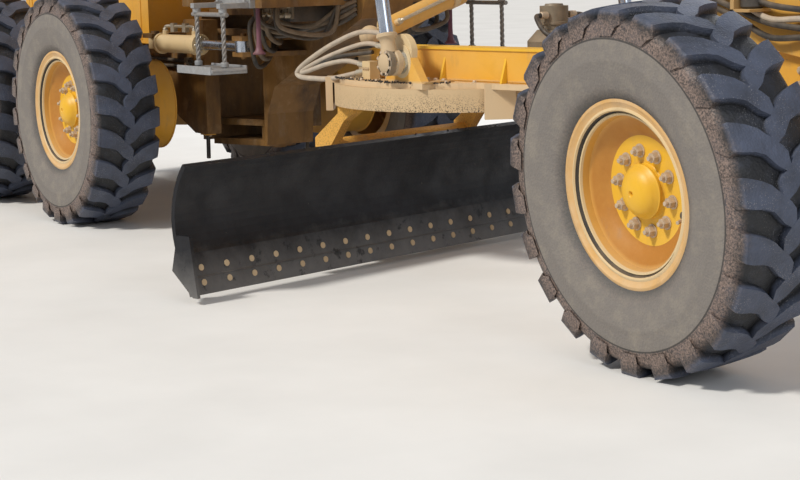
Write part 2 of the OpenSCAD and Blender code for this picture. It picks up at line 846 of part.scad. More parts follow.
// Socket of the drawbar's ball, bolted under the beam and open to the rear
cap_top = [for (x = [ball_x - 30, ball_x + 110]) [x, 1130 - 70 * (x - x_front + 650) / 450]];
module ball_cap() {
    color(yellow) difference() {
        side_plate(concat([[ball_x + 110, ball_z - 110], [ball_x - 30, ball_z - 110]], cap_top), 0, 220);
        translate([ball_x, 0, ball_z])
            sphere(r = ball_r + clear);
        translate([ball_x - 60, 0, ball_z])
            rotate([0, 90, 0])
                cylinder(h = 60, r1 = ball_r + 30, r2 = ball_r + clear);
    }
}

// Saddle on the arch: an arm each side with the bearing of a lift cylinder's trunnion
saddle_x = x_front - 2480;
saddle_z = 1850;
lift_y = 700;
lift_r = 62;
trunnion_r = 30;
arm_in = lift_y - lift_r - 70;
module lift_saddle() {
    color(yellow) difference() {
        union() {
            for (s = [-1, 1]) {
                saddle_arm(s);
                pin_y(saddle_x, s * (arm_in + 30), saddle_z, 75, 60);
            }
            block([saddle_x - 160, -beam_w / 2 - 30, arch_top],
                [saddle_x + 160, beam_w / 2 + 30, arch_top + 30]);
            for (s = [-1, 1])
                block([saddle_x - 160, s > 0 ? beam_w / 2 : -beam_w / 2 - 30, arch_z + 40],
                    [saddle_x + 160, s > 0 ? beam_w / 2 + 30 : -beam_w / 2, arch_top + 30]);
        }
        for (s = [-1, 1])
            pin_y(saddle_x, s * (arm_in + 30), saddle_z, trunnion_r + 0.05, 100);
    }
    // post of the side shift cylinder, hung from the beam's left side
    color(yellow) {
        block([post_x - 60, beam_w / 2, arch_z + 30], [post_x + 60, post_y + post_out + 30, arch_z + 90]);
        block([post_x - 60, post_y + post_out, post_z - 50], [post_x + 60, post_y + post_out + 30,
            arch_z + 60]);
    }
}
module saddle_arm(s) {
    translate([0, 0, saddle_z - 70])
        linear_extrude(140)
            polygon([[saddle_x - 130, s * (beam_w / 2)], [saddle_x + 130, s * (beam_w / 2)],
                [saddle_x + 75, s * (arm_in + 60)], [saddle_x - 75, s * (arm_in + 60)]]);
}

// Cab: hollow shell with window and door openings
door_x = [cab_x0 + 420, cab_x1 - 90];
sill = 700;            // window sills over the cab's underside
head = cab_h - 110;    // heads of windows and doors over the cab's underside
pillar = 90;
module cab_outer() {
    block([cab_x0, -cab_w / 2, cab_z], [cab_x1, cab_w / 2, cab_z + cab_h]);
}
// Openings as [low corner, high corner] through the walls
module window_front(t) {
    block([cab_x1 - wall - t, -cab_w / 2 + pillar + 20, cab_z + 560],
        [cab_x1 + t, cab_w / 2 - pillar - 20, cab_z + head]);
}
module window_foot(s, t) {
    block([cab_x1 - wall - t, s > 0 ? 210 : -cab_w / 2 + pillar + 20, cab_z + 130],
        [cab_x1 + t, s > 0 ? cab_w / 2 - pillar - 20 : -210, cab_z + 500]);
}
module window_back(t) {
    block([cab_x0 - t, -cab_w / 2 + pillar + 20, cab_z + sill],
        [cab_x0 + wall + t, cab_w / 2 - pillar - 20, cab_z + head]);
}
module window_side(s, t) {
    block([cab_x0 + pillar, s > 0 ? cab_w / 2 - wall - t : -cab_w / 2 - t, cab_z + sill],
        [door_x[0] - 70, s > 0 ? cab_w / 2 + t : -cab_w / 2 + wall + t, cab_z + head]);
}
cab_hinges = [cab_z + 300, cab_z + head - 200];
module cab() {
    color(yellow) difference() {
        cab_outer();
        block([cab_x0 + wall, -cab_w / 2 + wall, cab_z + wall],
            [cab_x1 - wall, cab_w / 2 - wall, cab_z + cab_h + 1]);
        window_front(1);
        window_back(1);
        for (s = [-1, 1]) {
            window_foot(s, 1);
            window_side(s, 1);
            block([door_x[0], s > 0 ? cab_w / 2 - wall - 1 : -cab_w / 2 - 1, cab_z + wall],
                [door_x[1], s > 0 ? cab_w / 2 + 1 : -cab_w / 2 + wall + 1, cab_z + head]);
        }
    }
    color(yellow) {
        for (s = [-1, 1])
            on_hinges(door_x[0], cab_w / 2, s, cab_hinges)
                hinge_fixed(s);
        // mounts on the frame's cross beams
        for (s = [-1, 1])
            for (x = [cab_x1 - 170, x_pivot + 290])
                translate([x, s * (cab_w / 2 - 200), cab_z - 12])
                    cylinder(h = 12, r = 60);
    }
}

module cab_roof() {
    color(yellow) {
        translate([0, 0, cab_z + cab_h])
            linear_extrude(90)
                round_rect([cab_x0 - 60, -cab_w / 2 - 40], [cab_x1 + 110, cab_w / 2 + 40], 110);
        translate([0, 0, cab_z + cab_h + 90])
            linear_extrude(40)
                round_rect([cab_x0 + 20, -cab_w / 2 + 60], [cab_x1 + 20, cab_w / 2 - 60], 100);
    }
}
module round_rect(a, b, r) {
    polygon(concat(arc(b[0] - r, b[1] - r, r, 0, 90), arc(a[0] + r, b[1] - r, r, 90, 180),
        arc(a[0] + r, a[1] + r, r, 180, 270), arc(b[0] - r, a[1] + r, r, 270, 360)));
}

pane = 8;
module cab_glass() {
    color("#9fb6bd", 0.5) {
        intersection() {
            window_front(0);
            block([cab_x1 - 30, -cab_w, cab_z], [cab_x1 - 30 + pane, cab_w, cab_z + cab_h]);
        }
        intersection() {
            window_back(0);
            block([cab_x0 + 22, -cab_w, cab_z], [cab_x0 + 22 + pane, cab_w, cab_z + cab_h]);
        }
        for (s = [-1, 1]) {
            intersection() {
                window_foot(s, 0);
                block([cab_x1 - 30, -cab_w, cab_z], [cab_x1 - 30 + pane, cab_w, cab_z + cab_h]);
            }
            intersection() {
                window_side(s, 0);
                block([cab_x0, s > 0 ? cab_w / 2 - 30 : -cab_w / 2 + 30 - pane, cab_z],
                    [cab_x1, s > 0 ? cab_w / 2 - 30 + pane : -cab_w / 2 + 30, cab_z + cab_h]);
            }
        }
    }
}

// Door: a panel as thick as the wall with its own window
door_frame = 90;
module door_window(s, t) {
    block([door_x[0] + gap + door_frame, s > 0 ? cab_w / 2 - wall - t : -cab_w / 2 - t, cab_z + 620],
        [door_x[1] - gap - door_frame, s > 0 ? cab_w / 2 + t : -cab_w / 2 + wall + t,
        cab_z + head - gap - door_frame]);
}
module door_foot(s, t) {
    block([door_x[0] + gap + door_frame, s > 0 ? cab_w / 2 - wall - t : -cab_w / 2 - t, cab_z + 200],
        [door_x[1] - gap - door_frame, s > 0 ? cab_w / 2 + t : -cab_w / 2 + wall + t, cab_z + 540]);
}
module door(s) {
    color(yellow) {
        difference() {
            block([door_x[0] + gap, s > 0 ? cab_w / 2 - wall : -cab_w / 2, cab_z + wall + gap],
                [door_x[1] - gap, s > 0 ? cab_w / 2 : -cab_w / 2 + wall, cab_z + head - gap]);
            door_window(s, 1);
            door_foot(s, 1);
        }
        on_hinges(door_x[0], cab_w / 2, s, cab_hinges)
            hinge_moving(s);
        // handle
        block([door_x[1] - 90, s > 0 ? cab_w / 2 : -cab_w / 2 - 24, cab_z + 575],
            [door_x[1] - 40, s > 0 ? cab_w / 2 + 24 : -cab_w / 2, cab_z + 600]);
    }
}
module door_left() door(1);
module door_right() door(-1);
module door_glass(s) {
    color("#9fb6bd", 0.5)
        for (k = [0, 1])
            intersection() {
                if (k == 0) door_window(s, 0); else door_foot(s, 0);
                block([cab_x0, s > 0 ? cab_w / 2 - 30 : -cab_w / 2 + 30 - pane, cab_z],
                    [cab_x1, s > 0 ? cab_w / 2 - 30 + pane : -cab_w / 2 + 30, cab_z + cab_h]);
            }
}
module door_glass_left() door_glass(1);
module door_glass_right() door_glass(-1);

seat_x = cab_x0 + 420;
module seat() {
    floor_z = cab_z + wall;
    color(dark) {
        translate([seat_x, 0, floor_z])
            linear_extrude(330)
                round_rect([-170, -180], [190, 180], 40);
        translate([seat_x, 0, floor_z + 330])
            linear_extrude(120)
                round_rect([-230, -255], [270, 255], 70);
        translate([seat_x - 230, 0, floor_z + 450])
            rotate([0, -10, 0])
                translate([0, 0, -30])
                    along_x(0, 120)
                        round_rect([-240, 0], [240, 640], 80);
        for (s = [-1, 1])
            translate([0, s * 300, 0])
                block([seat_x - 150, -40, floor_z + 560], [seat_x + 230, 40, floor_z + 620]);
        for (s = [-1, 1])
            block([seat_x - 150, s > 0 ? 254 : -300, floor_z + 400],
                [seat_x - 90, s > 0 ? 300 : -254, floor_z + 600]);
    }
}

module console() {
    floor_z = cab_z + wall;
    foot = [cab_x1 - 260, 0, floor_z];
    top = [cab_x1 - 420, 0, floor_z + 700];
    color(dark) {
        translate([foot[0], 0, floor_z])
            linear_extrude(120)
                round_rect([-110, -120], [110, 120], 40);
        bar(foot + [0, 0, 60], top, 48);
        translate(top)
            rotate([0, -22, 0]) {
                cylinder(h = 60, r = 70);
                translate([0, 0, 60])
                    rotate_extrude()
                        translate([190, 0])
                            circle(r = 16, $fn = 24);
                for (a = [90, 210, 330])
                    rotate([0, 0, a])
                        translate([0, -14, 50])
                            cube([190, 28, 12]);
            }
        // banks of levers each side of the column
        for (s = [-1, 1])
            translate([top[0] + 20, s * 150, top[2] - 60]) {
                translate([-70, -75, 0])
                    cube([150, 150, 60]);
                for (k = [-1, 0, 1])
                    translate([0, k * 45, 50])
                        cylinder(h = 150, r1 = 7, r2 = 11, $fn = 24);
            }
    }
}

// Steps at the front corners of the cab: an upper tread on brackets, a lower one on two ropes
step_x = [x_front - 3990, x_front - 3600];
step_y = [cab_w / 2 + 15, cab_w / 2 + 215];
step_lo = 905;
step_hi = 1225;
step_t = 40;
rope_r = 10;
module ladders() {
    color(dusty)
        for (s = [-1, 1])
            mirror([0, s < 0 ? 1 : 0, 0]) {
                for (z = [step_lo, step_hi])
                    block([step_x[0], step_y[0], z], [step_x[1], step_y[1], z + step_t]);
                for (x = [step_x[0] + 45, step_x[1] - 45]) {
                    translate([x, (step_y[0] + step_y[1]) / 2, step_lo])
                        cylinder(h = step_hi - step_lo + 10, r = rope_r);
                    // bracket from the cross beam out to the upper tread
                    block([x - 20, cab_w / 2 - 50, step_hi + 8], [x + 20, step_y[0] + 20, step_hi + step_t]);
                }
                block([step_x[0] + 20, cab_w / 2 - 60, step_hi + 8],
                    [step_x[1] - 20, cab_w / 2 - 30, step_hi + 100]);
            }
}

module front_lamps() {
    color("#d8d8d0")
        for (s = [-1, 1]) {
            translate([x_front + 330, s * 235, 1500])
                rotate([0, 90, 0])
                    cylinder(h = 90, r1 = 60, r2 = 85);
            block([x_front + 340, s > 0 ? beam_w / 2 : -265, 1360],
                [x_front + 375, s > 0 ? 265 : -beam_w / 2, 1390]);
            block([x_front + 340, s > 0 ? 220 : -250, 1380], [x_front + 375, s > 0 ? 250 : -220, 1470]);
            // work lamps under the roof's front edge
            translate([cab_x1 + 12, s * (cab_w / 2 - 130), cab_z + cab_h - 70])
                rotate([0, 90, 0])
                    cylinder(h = 60, r1 = 45, r2 = 55);
            block([cab_x1 + 20, s * (cab_w / 2 - 130) - 15, cab_z + cab_h - 40],
                [cab_x1 + 50, s * (cab_w / 2 - 130) + 15, cab_z + cab_h]);
        }
}

module mirrors() {
    color(dark)
        for (s = [-1, 1]) {
            m = [cab_x1 + 60, s * (cab_w / 2 + 260), cab_z + 1250];
            bar([cab_x1 - 30, s * (cab_w / 2 + 22), cab_z + 1484], m + [0, 0, 190], 13);
            translate(m + [0, 0, 190])
                sphere(r = 16);
            bar(m + [0, 0, 190], m + [0, 0, 0], 12);
            block([cab_x1 - 50, s > 0 ? cab_w / 2 : -cab_w / 2 - 30, cab_z + 1460],
                [cab_x1 - 10, s > 0 ? cab_w / 2 + 30 : -cab_w / 2, cab_z + 1510]);
            translate(m + [-16, 0, -160])
                along_x(0, 32)
                    round_rect([-95, -170], [95, 170], 30);
        }
}

// Drawbar: ball, A-shaped frame of two box beams, and a plate over the circle
plate_z = circle_z + circle_h + clear;
plate_t = 26;
web_top = 1050;
lift_x = x_front - 2300;
lift_z = 1000;
ear_in = lift_y - 60;
shift_x = x_front - 2805;
shift_y = -500;
shift_z = 1100;
shift_r = 48;
post_x = x_front - 3000;     // rod's pin of the side shift cylinder at the saddle
post_y = 560;
post_z = 1430;
post_out = 50;               // post's face outboard of the rod's eye
swivel_r = 36;
beam_root = [ball_x - 190, 70];
beam_end = [x_circle - 250, 500];

module beam_2d(w) {
    for (s = [-1, 1])
        polygon([[beam_root[0], s * (beam_root[1] - w / 2)], [beam_root[0], s * (beam_root[1] + w / 2)],
            [beam_end[0], s * (beam_end[1] + w / 2)], [beam_end[0], s * (beam_end[1] - w / 2)]]);
}
module drawbar() {
    color(yellow) {
        translate([ball_x, 0, ball_z])
            sphere(r = ball_r);
        translate([ball_x, 0, ball_z])
            rotate([0, -90, 0])
                cylinder(h = 170, r = 44);
        // head where the two beams meet
        translate([0, 0, plate_z + plate_t])
            linear_extrude(web_top - plate_z - plate_t)
                polygon([[beam_root[0] + 70, -60], [beam_root[0] + 70, 60], [beam_root[0] - 60, 150],
                    [beam_root[0] - 60, -150]]);
        // beams
        translate([0, 0, plate_z + plate_t])
            linear_extrude(web_top - plate_z - plate_t)
                beam_2d(110);
        // bottom plate: flanges of the beams and a ring over the circle
        translate([0, 0, plate_z])
            linear_extrude(plate_t)
                difference() {
                    union() {
                        beam_2d(190);
                        polygon([[beam_root[0] + 60, -70], [beam_root[0] + 60, 70], [beam_root[0] - 60, 170],
                            [beam_root[0] - 60, -170]]);
                        intersection() {
                            translate([x_circle, 0])
                                circle(r = circle_r - 25);
                            translate([x_circle - 520, -circle_r])
                                square([1300, 2 * circle_r]);
                        }
                    }
                    translate([x_circle, 0])
                        circle(r = circle_r - circle_band - 60);
                }
        // cross tube over the circle
        translate([x_circle - 200, 0, plate_z + plate_t + 46])
            rotate([90, 0, 0])
                cylinder(h = 2 * 470, r = 48, center = true);
        for (s = [-1, 1]) {
            // ear of a lift cylinder
            side_plate([[lift_x - 150, plate_z + plate_t], [lift_x + 170, plate_z + plate_t],
                [lift_x + 60, lift_z + 40], [lift_x - 60, lift_z + 40]], s * (ear_in - 20), 40);
            pin_y(lift_x, s * (ear_in - 20), lift_z, 62, 40);
            block([lift_x - 150, s > 0 ? 440 : -ear_in, plate_z],
                [lift_x + 170, s > 0 ? ear_in : -440, plate_z + plate_t]);
            // shoes that carry the circle
            for (a = [30, 125])
                translate([x_circle, 0, 0])
                    rotate([0, 0, s * a])
                        translate([circle_r + 6, -70, 0]) {
                            translate([0, 0, circle_z - 30])
                                cube([34, 140, plate_z + plate_t - circle_z + 30]);
                            translate([-60, 0, plate_z])
                                cube([94, 140, plate_t]);
                        }
        }
        // ball of the side shift cylinder, on a block at the right beam's end
        block([shift_x - 40, shift_y - 45, plate_z + plate_t - 5], [shift_x + 40, shift_y + 45, web_top]);
        translate([shift_x, shift_y, web_top - 5])
            cylinder(h = shift_z - web_top, r = 17);
        translate([shift_x, shift_y, shift_z])
            sphere(r = swivel_r);
    }
}

// Drive of the circle: gearbox and motor on the drawbar, ahead of the circle's middle
drive_x = x_circle + 560;
module circle_drive() {
    color(dark) {
        translate([drive_x, 0, plate_z + plate_t])
            cylinder(h = 170, r = 125);
        translate([drive_x, 0, plate_z + plate_t + 170])
            cylinder(h = 50, r1 = 125, r2 = 80);
        translate([drive_x, 0, plate_z + plate_t + 220])
            cylinder(h = 110, r = 66);
    }
}

// Circle: a ring with teeth inside and the two arms that carry the blade
teeth = 64;
tooth_h = 20;
arm_y = 520;
arm_t = 60;
clevis_t = 28;
tip_x = -560;        // tip hinge of the blade, behind and under the circle
tip_z = 235;
module circle_frame() {
    translate([x_circle, 0, 0])
        rotate([0, 0, circle_turn])
            children();
}
module turn_circle() {
    r_root = circle_r - circle_band;
    color(dusty) circle_frame() {
        translate([0, 0, circle_z])
            linear_extrude(circle_h)
                difference() {
                    circle(r = circle_r, $fn = 128);
                    polygon([for (i = [0:teeth - 1]) for (k = [[-0.3, 0], [-0.14, 1], [0.14, 1], [0.3, 0]])
                        let (a = (i + k[0]) * 360 / teeth, r = r_root - k[1] * tooth_h)
                        [r * cos(a), r * sin(a)]]);
                }
        difference() {
            union() {
                for (s = [-1, 1]) {
                    side_plate([[-375, circle_z + 5], [-480, circle_z + 5], [-480, 735], [-640, 610],
                        [tip_x - 80, tip_z + 40],
                        [tip_x - 50, tip_z - 50], [tip_x + 15, tip_z - 50], [tip_x + 15, 560], [-440, 700],
                        [-375, 740]], s * arm_y, arm_t);
                    pin_y(tip_x, s * arm_y, tip_z, 72, arm_t);
                }
                translate([-590, 0, 560])
                    rotate([90, 0, 0])
                        cylinder(h = 2 * arm_y - arm_t + 2, r = 42, center = true);
            }
            for (s = [-1, 1])
                pin_y(tip_x, s * arm_y, tip_z, 28.05, arm_t + 20);
        }
    }
}

// Blade carrier: two brackets on the tip hinge whose claws hold the blade's rails
rail_hi = [445, 495];
rail_lo = [205, 255];
rail_x = [-402, -338];
claw_w = 130;
shift_bar = [-445, 350];     // axis of the blade shift cylinder in the carrier, x and z
shift_bar_r = 38;
side_rod_r = 24;
module blade_carrier() {
    color(dusty) circle_frame() {
        difference() {
            union() {
                for (s = [-1, 1]) {
                    // back plate and the claws
                    block([-478, s * arm_y - claw_w / 2, 180],
                        [rail_x[0] - clear, s * arm_y + claw_w / 2, 515]);
                    for (r = [[rail_hi[1] + clear, 522], [rail_lo[0] - 28, rail_lo[0] - clear]])
                        block([rail_x[0] - 20, s * arm_y - claw_w / 2, r[0]],
                            [rail_x[1] - 8, s * arm_y + claw_w / 2, r[1]]);
                    // clevis round the arm
                    for (f = [-1, 1])
                        union() {
                            y = s * arm_y + f * (arm_t / 2 + clear + clevis_t / 2);
                            pin_y(tip_x, y, tip_z, 2 * clevis_t, clevis_t);
                            block([tip_x, y - clevis_t / 2, tip_z - 2 * clevis_t],
                                [-470, y + clevis_t / 2, tip_z + 2 * clevis_t]);
                        }
                    pin_y(tip_x, s * arm_y, tip_z, 28, arm_t + 80);
                }
                // barrel of the shift cylinder across both brackets
                translate([shift_bar[0], 0, shift_bar[1]])
                    rotate([90, 0, 0])
                        cylinder(h = 1130, r = shift_bar_r, center = true);
            }
            translate([shift_bar[0], 0, shift_bar[1]])
                rotate([-90, 0, 0])
                    translate([0, 0, -550])
                        cylinder(h = 1200, r = side_rod_r + 0.05);
        }
    }
}

// Blade: curved moldboard, cutting edge, end bits, rails and the rod of the shift cylinder
mold_r = 400;
edge_h = 190;
edge_t = 20;
blade_top = blade_gap + blade_h;
chord = blade_h - 80;        // height of the moldboard's curve
mold_x = -blade_back + sqrt(mold_r * mold_r - chord * chord / 4);
mold_z = blade_top - chord / 2;
half_a = asin(chord / 2 / mold_r);
module blade() {
    color(dark) circle_frame() translate([0, blade_shift, 0]) {
        translate([0, blade_l / 2, 0])
            rotate([90, 0, 0])
                linear_extrude(blade_l)
                    polygon(concat(arc(mold_x, mold_z, mold_r, 180 - half_a, 180 + half_a, 16),
                        arc(mold_x, mold_z, mold_r + blade_t, 180 + half_a, 180 - half_a, 16)));
        // cutting edge
        translate([-blade_back, 0, blade_gap])
            rotate([0, -14, 0])
                block([-6, -blade_l / 2 + 1, 0], [edge_t - 4, blade_l / 2 - 1, edge_h - 4]);
        // rails, in the span that the claws travel over
        for (r = [rail_hi, rail_lo])
            block([rail_x[0], -1100, r[0]], [rail_x[1], 1100, r[1]]);
        // rod of the shift cylinder and its lug
        translate([shift_bar[0], 0, shift_bar[1]])
            rotate([-90, 0, 0])
                cylinder(h = 1260, r = side_rod_r);
        block([shift_bar[0] - 40, 1230, shift_bar[1] - 45], [mold_x - mold_r - 12, 1270, shift_bar[1] + 45]);
        // end bits
        for (s = [-1, 1])
            side_plate([[-blade_back - 100, blade_gap + 110], [-blade_back + 30, blade_gap],
                [-blade_back + 62, blade_gap],
                [-blade_back + 20, 300], [-blade_back - 60, 300]], s * (blade_l / 2 + 5), 16);
    }
}

// Lift cylinders: barrels on the saddle's trunnions, rods down to the drawbar's studs
lift_rod_r = 32;
lift_len = norm([saddle_x - lift_x, 0, saddle_z - lift_z]);
lift_tilt = atan2(saddle_x - lift_x, saddle_z - lift_z);
barrel_lo = 340;      // barrel below and above its trunnion
barrel_hi = 760;
eye_r = 54;
module lift_frame(s) {
    translate([saddle_x, s * lift_y, saddle_z])
        rotate([0, lift_tilt, 0])
            children();
}
module lift_barrel(s) {
    color(yellow) lift_frame(s) {
        difference() {
            union() {
                translate([0, 0, -barrel_lo])
                    cylinder(h = barrel_lo + barrel_hi, r = lift_r);
                translate([0, 0, -barrel_lo])
                    cylinder(h = 60, r = lift_r + 12);
                translate([0, 0, -50])
                    cylinder(h = 100, r = lift_r + 9);
            }
            translate([0, 0, -barrel_lo - 1])
                cylinder(h = barrel_lo + barrel_hi - 40, r = lift_rod_r + 0.05);
        }
        rotate([s * 90, 0, 0])
            translate([0, 0, lift_r - 2])
                cylinder(h = 72, r = trunnion_r);
    }
}
module lift_barrel_left() lift_barrel(1);
module lift_barrel_right() lift_barrel(-1);
module lift_rod(s) {
    color(steel) lift_frame(s) {
        translate([0, 0, 52 - lift_len])
            cylinder(h = lift_len - 52 + 130, r = lift_rod_r);
        translate([0, s * ((ear_in + clear - lift_y + 35) / 2), -lift_len])
            rotate([90, 0, 0])
                cylinder(h = lift_y + 35 - ear_in - clear, r = eye_r, center = true);
    }
}
module lift_rod_left() lift_rod(1);
module lift_rod_right() lift_rod(-1);

// Side shift cylinder: barrel on the drawbar's right, rod up to the post at the saddle's left
shift_a = [shift_x, shift_y, shift_z];
shift_b = [post_x, post_y, post_z];
shift_d = (shift_b - shift_a) / norm(shift_b - shift_a);
shift_len = norm(shift_b - shift_a);
module along_shift() {
    translate(shift_a)
        rotate([0, 0, atan2(shift_d[1], shift_d[0]) - 90])
            rotate([asin(shift_d[2]), 0, 0])
                rotate([-90, 0, 0])
                    children();
}
module shift_barrel() {
    color(yellow) difference() {
        union() {
            translate(shift_a)
                sphere(r = swivel_r + 16);
            along_shift() {
                cylinder(h = 130, r = 24);
                translate([0, 0, 100])
                    cylinder(h = 520, r = shift_r);
                translate([0, 0, 590])
                    cylinder(h = 44, r = shift_r + 9);
            }
        }
        translate(shift_a)
            sphere(r = swivel_r + clear);
        translate(shift_a + [0, 0, -90])
            cylinder(h = 90, r1 = 156, r2 = 0);
        along_shift()
            translate([0, 0, 150])
                cylinder(h = 600, r = 24.05);
    }
}
module shift_rod() {
    color(steel) {
        along_shift()
            translate([0, 0, 360])
                cylinder(h = shift_len - 370, r = 24);
        translate(shift_b)
            sphere(r = 44);
    }
}

// Articulation cylinders: barrels on the rear frame, rods to the front frame's outriggers
module hitch_frame(s) {
    translate([base_x, s * base_y, cyl_z])
        rotate([0, 0, atan2(s * (reach_y - base_y), reach_x - base_x)])
            children();
}
hitch_len = norm([reach_x - base_x, reach_y - base_y]);
module hitch_barrel(s) {
    color(rim_tan) hitch_frame(s) difference() {
        union() {
            cylinder(h = eye_t, r = 40, center = true);
            rotate([0, 90, 0]) {
                translate([0, 0, 30])
                    cylinder(h = 60, r = 26);
                translate([0, 0, 64])
                    cylinder(h = 416, r = cyl_r);
            }
        }
        cylinder(h = 140, r = 24.05, center = true);
        rotate([0, 90, 0])
            translate([0, 0, 130])
                cylinder(h = 600, r = cyl_rod_r + 0.05);
    }
}
module hitch_barrel_left() hitch_barrel(1);
module hitch_barrel_right() hitch_barrel(-1);
module hitch_rod(s) {
    color(steel) hitch_frame(s) difference() {
        union() {
            rotate([0, 90, 0])
                translate([0, 0, 330])
                    cylinder(h = hitch_len - 330 - 38, r = cyl_rod_r);
            translate([hitch_len, 0, 0])
                cylinder(h = eye_t, r = 48, center = true);
        }
        translate([hitch_len, 0, 0])
            cylinder(h = 140, r = hitch_stud_r + 15.5, center = true);
    }
}
module hitch_rod_left() hitch_rod(1);
module hitch_rod_right() hitch_rod(-1);

rear_frame();
engine();
hood();
exhaust();
rear_lamps();
rear_axle();
tandem_cases();
hood_door_left();
hood_door_right();
rear_grille();
front_frame();
lift_saddle();
cab();
cab_roof();
cab_glass();
seat();
console();
ladders();
front_lamps();
mirrors();
front_axle();
door_left();
door_right();
door_glass_left();
door_glass_right();
knuckle_left();
knuckle_right();
spindle_left();
spindle_right();
lean_bar();
tie_rod_end();
tie_rod();
tyre_front_left();
tyre_front_right();
rim_front_left();
rim_front_right();
tyre_mid_left();
tyre_mid_right();
rim_mid_left();
rim_mid_right();
tyre_rear_left();
tyre_rear_right();
rim_rear_left();
rim_rear_right();
ball_cap();
drawbar();
circle_drive();
turn_circle();
blade_carrier();
blade();
lift_barrel_left();
lift_barrel_right();
lift_rod_left();
lift_rod_right();
shift_barrel();
shift_rod();
hitch_barrel_left();
hitch_barrel_right();
hitch_rod_left();
hitch_rod_right();
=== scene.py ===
"""Looks of an articulated motor grader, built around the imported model.

Metres, +X forward, +Y left, +Z up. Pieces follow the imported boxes, joints and faces where a number
isn't given.
"""
import json
import math

import bpy
import numpy as np
from mathutils import Matrix, Vector
from mathutils.bvhtree import BVHTree


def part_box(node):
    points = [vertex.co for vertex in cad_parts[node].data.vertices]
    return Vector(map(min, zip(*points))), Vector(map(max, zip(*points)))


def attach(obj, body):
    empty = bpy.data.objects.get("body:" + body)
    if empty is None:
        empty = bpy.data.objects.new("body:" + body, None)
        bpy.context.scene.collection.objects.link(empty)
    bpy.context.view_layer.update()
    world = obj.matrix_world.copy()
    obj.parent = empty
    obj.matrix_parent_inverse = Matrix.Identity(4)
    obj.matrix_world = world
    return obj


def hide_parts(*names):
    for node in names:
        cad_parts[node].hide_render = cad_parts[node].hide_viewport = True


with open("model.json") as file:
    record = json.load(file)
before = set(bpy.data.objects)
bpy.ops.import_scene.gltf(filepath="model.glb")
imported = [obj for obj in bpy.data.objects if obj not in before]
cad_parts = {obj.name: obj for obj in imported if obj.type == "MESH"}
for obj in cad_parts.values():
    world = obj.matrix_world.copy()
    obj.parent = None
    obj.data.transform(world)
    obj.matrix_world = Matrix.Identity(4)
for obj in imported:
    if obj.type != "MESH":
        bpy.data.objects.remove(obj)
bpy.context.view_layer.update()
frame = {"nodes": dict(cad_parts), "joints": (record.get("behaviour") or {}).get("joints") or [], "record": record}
JOINTS = {j["name"]: j for j in frame["joints"]}
NODES = frame["nodes"]
HANDS = ((-1, "right"), (1, "left"))
UP = (0, 0, 1)


def ring(count, radius, first=0.0, step=None):
    """Points (u, v) on a circle from first degrees on, spread evenly or step degrees apart."""
    turns = [math.radians(first + (step or 360 / count) * k) for k in range(count)]
    return [(radius * math.cos(a), radius * math.sin(a)) for a in turns]


def frame_of(axis):
    along = Vector(axis).normalized()
    ref = Vector(UP) if abs(along.z) < 0.9 else Vector((1, 0, 0))
    side = ref.cross(along).normalized()
    return side, along.cross(side).normalized(), along


def spline(points, n):
    """Catmull-Rom curve through the points, n steps between two of them."""
    p = [Vector(q) for q in points]
    p = [p[0] * 2 - p[1]] + p + [p[-1] * 2 - p[-2]]
    out = []
    for a, b, c, d in zip(p, p[1:], p[2:], p[3:]):
        for t in (k / n for k in range(n)):
            square = (2 * a - 5 * b + 4 * c - d) * t * t
            out.append(0.5 * (2 * b + (c - a) * t + square + (3 * b - a - 3 * c + d) * t ** 3))
    return out + [p[-2]]


def sharpen(mesh, angle=38):
    """Marks the edges between faces that meet at more than angle as sharp."""
    mesh.update()
    at = {}
    for p in mesh.polygons:
        for key in p.edge_keys:
            at.setdefault(key, []).append(p.normal.copy())
    limit = math.cos(math.radians(angle))
    for e in mesh.edges:
        normals = at.get(tuple(sorted(e.vertices)), [])
        if len(normals) == 2 and normals[0].dot(normals[1]) < limit:
            e.use_edge_sharp = True


def placed(name, mesh, body, matrix=None):
    """An object of a mesh, riding on a body."""
    obj = bpy.data.objects.new(name, mesh)
    if matrix is not None:
        obj.matrix_world = matrix
    bpy.context.scene.collection.objects.link(obj)
    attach(obj, body)
    return obj


